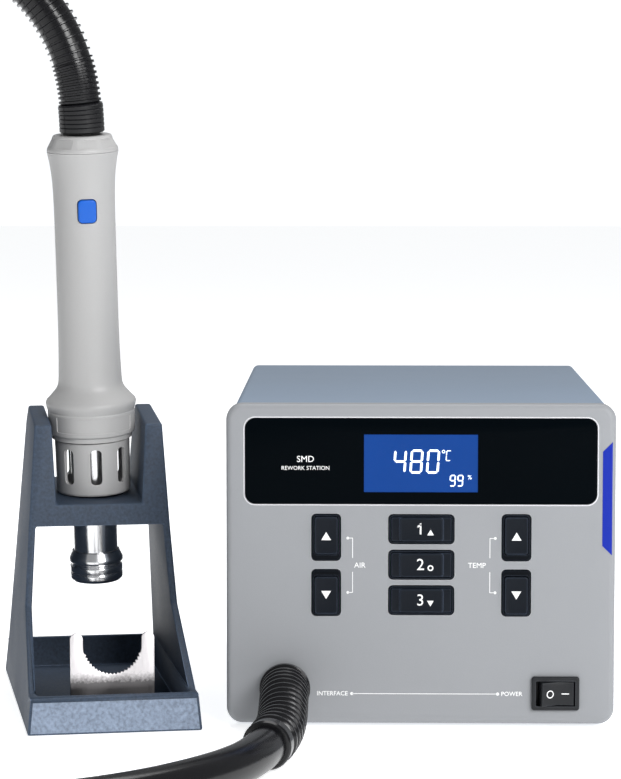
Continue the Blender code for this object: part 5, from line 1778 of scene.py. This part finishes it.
@dataclass
class Gun:
    """The hot-air gun: handle, sleeve, tube, nozzle, cap and button."""

    frames: Frames
    sleeve_radius: float = 17.2
    sleeve_height: float = 25.0
    sleeve_wall: float = 1.6
    slots: int = 8
    slot: Pair = (5.4, 16.6)
    slot_z: float = 13.8
    tube_radius: float = 10.3
    tube_wall: float = 0.9
    tube_low: float = -38.0
    tube_top: float = 58.0
    nozzle_top: float = -28.5
    nozzle_low: float = -42.8
    nozzle_radius: float = 12.6
    shell_base: float = 25.6
    shell_top: float = 158.7
    shell_wall: float = 2.2
    grip: float = 14.0
    collar: float = 16.4
    cap_height: float = 7.3
    cap_top: float = 13.2
    cap_bore: float = 8.9
    recesses: int = 8
    button: Pair = (8.3, 10.7)
    button_z: float = 132.5
    seam: float = 0.15

    def build(self) -> None:
        """Makes every piece of the gun."""
        self.steel = Metal(
            "turned_steel", (0.80, 0.80, 0.81), 0.2, spread=0.12, depth=0.000008, pitch=4200.0,
            turn=tuple(self.frames.gun.to_quaternion().inverted().to_euler()),
        )
        self.make_handle()
        self.make_cap()
        self.make_button()
        self.make_sleeve()
        self.make_tube()
        self.make_nozzle()

    def outside(self) -> list[Pair]:
        """Returns the handle's outer profile: gap, band, bulge, cone, grip and collar."""
        base, band, bulge = self.shell_base, self.sleeve_radius + 2.8, self.sleeve_radius + 3.8
        neck = bulge - self.grip
        curved = [
            (bulge, 42.2), (bulge - 0.2, 43.0), (self.grip + 0.78 * neck, 44.5),
            (self.grip + 0.51 * neck, 46.6), (self.grip + 0.26 * neck, 48.8),
            (self.grip + 0.15 * neck, 50.6), (self.grip + 0.1 * neck, 53.5),
            (self.grip + 0.5, 58.0), (self.grip + 0.25, 66.0), (self.grip, 90.0),
            (self.grip, 120.0), (self.grip + 0.1, 136.0), (self.grip + 0.5, 146.0),
            (self.grip + 1.3, 153.0), (self.collar, self.shell_top),
        ]
        ledge = filleted([
            (band - 1.4, base), (band - 1.4, base + 2.2), (band, base + 2.6), (band + 0.2, 38.0),
            (band + 0.05, 38.5), (band + 0.3, 39.2), (bulge - 0.35, 40.4), (bulge, 42.2),
        ], 0.5)[:-1]
        return ledge + [tuple(point) for point in smooth_curve(curved, 90)]

    def make_handle(self) -> None:
        """Makes the two handle shells, with the band's panel and the button's opening."""
        outside = self.outside()
        inside = [(r - self.shell_wall, z) for r, z in reversed(outside)][::4]
        slit = self.seam / self.grip
        for name, start in (("front", -math.pi + slit), ("back", slit)):
            shell = turned(
                outside + inside, ring=True, steps=64, start=start, sweep=math.pi - 2 * slit
            )
            if name == "front":
                shell = carved(shell, self.panel_cutter())
                shell = carved(shell, self.button_cutter())
            finished(
                shell, f"handle_shell_{name}_grip", SHELL_GREY, self.frames.gun, "gun",
                [f"handle_shell_{name}"],
            )

    def panel_cutter(self) -> bmesh.types.BMesh:
        """Returns the curved cutter of the shallow panel on the band's front."""
        inner, outer = self.sleeve_radius + 2.55, self.sleeve_radius + 5.0
        low, high = self.shell_base + 4.6, 37.4
        half = math.radians(58)
        shape = turned(
            [(inner, low), (outer, low), (outer, high), (inner, high)], ring=True, steps=40,
            start=-math.pi / 2 - half, sweep=2 * half,
        )
        radial = [
            e for e in shape.edges
            if abs(e.verts[0].co.z - e.verts[1].co.z) < 1e-4
            and abs(e.verts[0].co.xy.length - e.verts[1].co.xy.length) > 1.0
            and len(e.link_faces) == 2 and e.calc_face_angle() > 1.0
        ]
        bevel(shape, radial, 2.6, 5)
        return shape

    def button_cutter(self) -> bmesh.types.BMesh:
        """Returns the cutter of the button's opening."""
        width, height = self.button
        return slab((width + 0.7, 16.0, height + 0.7), (0, -16.0, self.button_z), 2.4)

    def make_cap(self) -> None:
        """Makes the tail cap with its ring of shallow grip recesses."""
        low = self.shell_top + 0.04
        high = self.shell_top + 0.3 + self.cap_height
        profile = [(self.collar, low), (self.collar - 0.1, low + 1.4), (self.cap_top, high)]
        profile += [(self.cap_bore, high), (self.cap_bore, low)]
        cap = turned(filleted(profile, 0.5, closed=True), ring=True)
        lean = math.atan2(self.collar - self.cap_top, self.cap_height - 1.4)
        middle = ((self.collar + self.cap_top) / 2 + 0.4, (low + high) / 2 + 0.7)
        cutters = []
        for k in range(self.recesses):
            cutter = slab((9.0, 2.0, 4.6), (0, 0, 0), 0.5)
            turn = Matrix.Rotation((k + 0.1) * TAU / self.recesses, 4, "Z")
            tip = Matrix.Translation((0, -middle[0], middle[1])) @ Matrix.Rotation(-lean, 4, "X")
            cutters.append(moved(cutter, turn @ tip))
        finished(
            carved(cap, *cutters), "tail_cap_ring", SHELL_GREY, self.frames.gun, "gun",
            ["tail_cap"],
        )

    def make_button(self) -> None:
        """Makes the blue button, slightly crowned."""
        width, height = self.button
        face = -self.grip - 1.0
        cap = slab((width, 5.0, height), (0, face + 2.5, self.button_z), 2.05, 0.9)
        finished(
            cap, "gun_button_cap", BUTTON_BLUE, self.frames.gun, "gun_button", ["gun_button"],
        )

    def make_sleeve(self) -> None:
        """Makes the slotted sleeve with its inward bottom lip."""
        radius, inner = self.sleeve_radius, self.sleeve_radius - self.sleeve_wall
        lip, wall, top = self.tube_radius + 0.9, self.sleeve_wall, self.sleeve_height
        profile = [(radius - 0.6, 0.0), (radius, 0.9), (radius + 0.2, top), (inner, top)]
        profile += [(inner, wall), (lip, wall), (lip, 0.0)]
        sleeve = turned(filleted(profile, 0.5, closed=True), ring=True, steps=128)
        slots = []
        for k in range(self.slots):
            cutter = slab((self.slot[0], 6.0, self.slot[1]), (0, -radius, self.slot_z), 2.1)
            slots.append(moved(cutter, Matrix.Rotation(k * TAU / self.slots, 4, "Z")))
        finished(
            carved(sleeve, *slots), "slotted_sleeve_ring", SHELL_GREY, self.frames.gun, "gun",
            ["slotted_sleeve"],
        )

    def make_tube(self) -> None:
        """Makes the polished outlet tube."""
        bore = self.tube_radius - self.tube_wall
        profile = [(self.tube_radius, self.tube_low), (self.tube_radius, self.tube_top)]
        profile += [(bore, self.tube_top), (bore, self.tube_low)]
        finished(
            turned(filleted(profile, 0.2, closed=True), ring=True), "outlet_tube_steel",
            self.steel, self.frames.gun, "gun", ["outlet_tube"],
        )

    def make_nozzle(self) -> None:
        """Makes the nozzle: a rolled shoulder, a groove and a plain rim."""
        radius, low, top = self.nozzle_radius, self.nozzle_low, self.nozzle_top
        bore = self.tube_radius + 0.3
        outside = [
            (bore + 0.5, top), (bore + 0.6, top - 0.5), (radius, top - 3.6),
            (radius, top - 5.0), (radius - 1.1, top - 6.2), (radius - 1.1, top - 6.8),
            (radius - 0.3, top - 7.3), (radius - 0.3, top - 9.8), (radius - 0.8, top - 10.1),
            (radius - 0.8, top - 10.5), (radius - 0.3, top - 10.8), (radius - 0.3, low + 1.2),
            (radius - 1.2, low),
        ]
        inside = [(bore - 1.2, low), (bore - 1.2, self.tube_low - 0.3)]
        inside += [(bore, self.tube_low - 0.3), (bore, top)]
        finished(
            turned(filleted(outside + inside, 0.35, closed=True), ring=True), "nozzle_ring",
            self.steel, self.frames.gun, "nozzle", ["nozzle"],
        )


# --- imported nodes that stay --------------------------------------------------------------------


@dataclass
class Insides:
    """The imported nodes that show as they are, in finishes of their own."""

    nodes: dict[str, bpy.types.Object]
    finishes: dict[str, Finish] = field(default_factory=lambda: {
        "chassis_tray": COVER_PAINT, "rear_panel": COVER_PAINT, "hose_gland": SWITCH_BLACK,
        "air_duct": HOSE_RUBBER, "blower_housing": SWITCH_BLACK, "blower_cover": SWITCH_BLACK,
        "blower_motor": SCREW_STEEL, "blower_impeller": MOULD_WHITE, "front_board": BOARD_GREEN,
        "main_board": BOARD_GREEN, "gun_switch_board": BOARD_GREEN, "heat_sink": FIN_ALUMINIUM,
        "transformer": CORE_IRON, "heater_core": FIRED_CERAMIC, "mica_wrap": MICA_SHEET,
        "lcd_module": SWITCH_BLACK,
    })

    def build(self) -> None:
        """Gives each of these nodes its finish."""
        for name, finish in self.finishes.items():
            mesh = self.nodes[name].data
            mesh.materials.clear()
            mesh.materials.append(finish.material())
            log.info("node %s: %s", name, finish.name)


def main() -> None:
    """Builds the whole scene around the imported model."""
    logging.basicConfig(level=logging.INFO, format="%(message)s")
    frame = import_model()
    frames, nodes = Frames.read(frame), frame["nodes"]
    Studio().build()
    Hose().build()
    controls, switch = Controls(frames), PowerSwitch(frames)
    MainUnit(frames).build([*controls.openings(), switch.opening()])
    Display(frames).build()
    controls.build()
    switch.build()
    Stand(frames, nodes).build()
    Gun(frames).build()
    Insides(nodes).build()


if __name__ == "__main__":
    main()
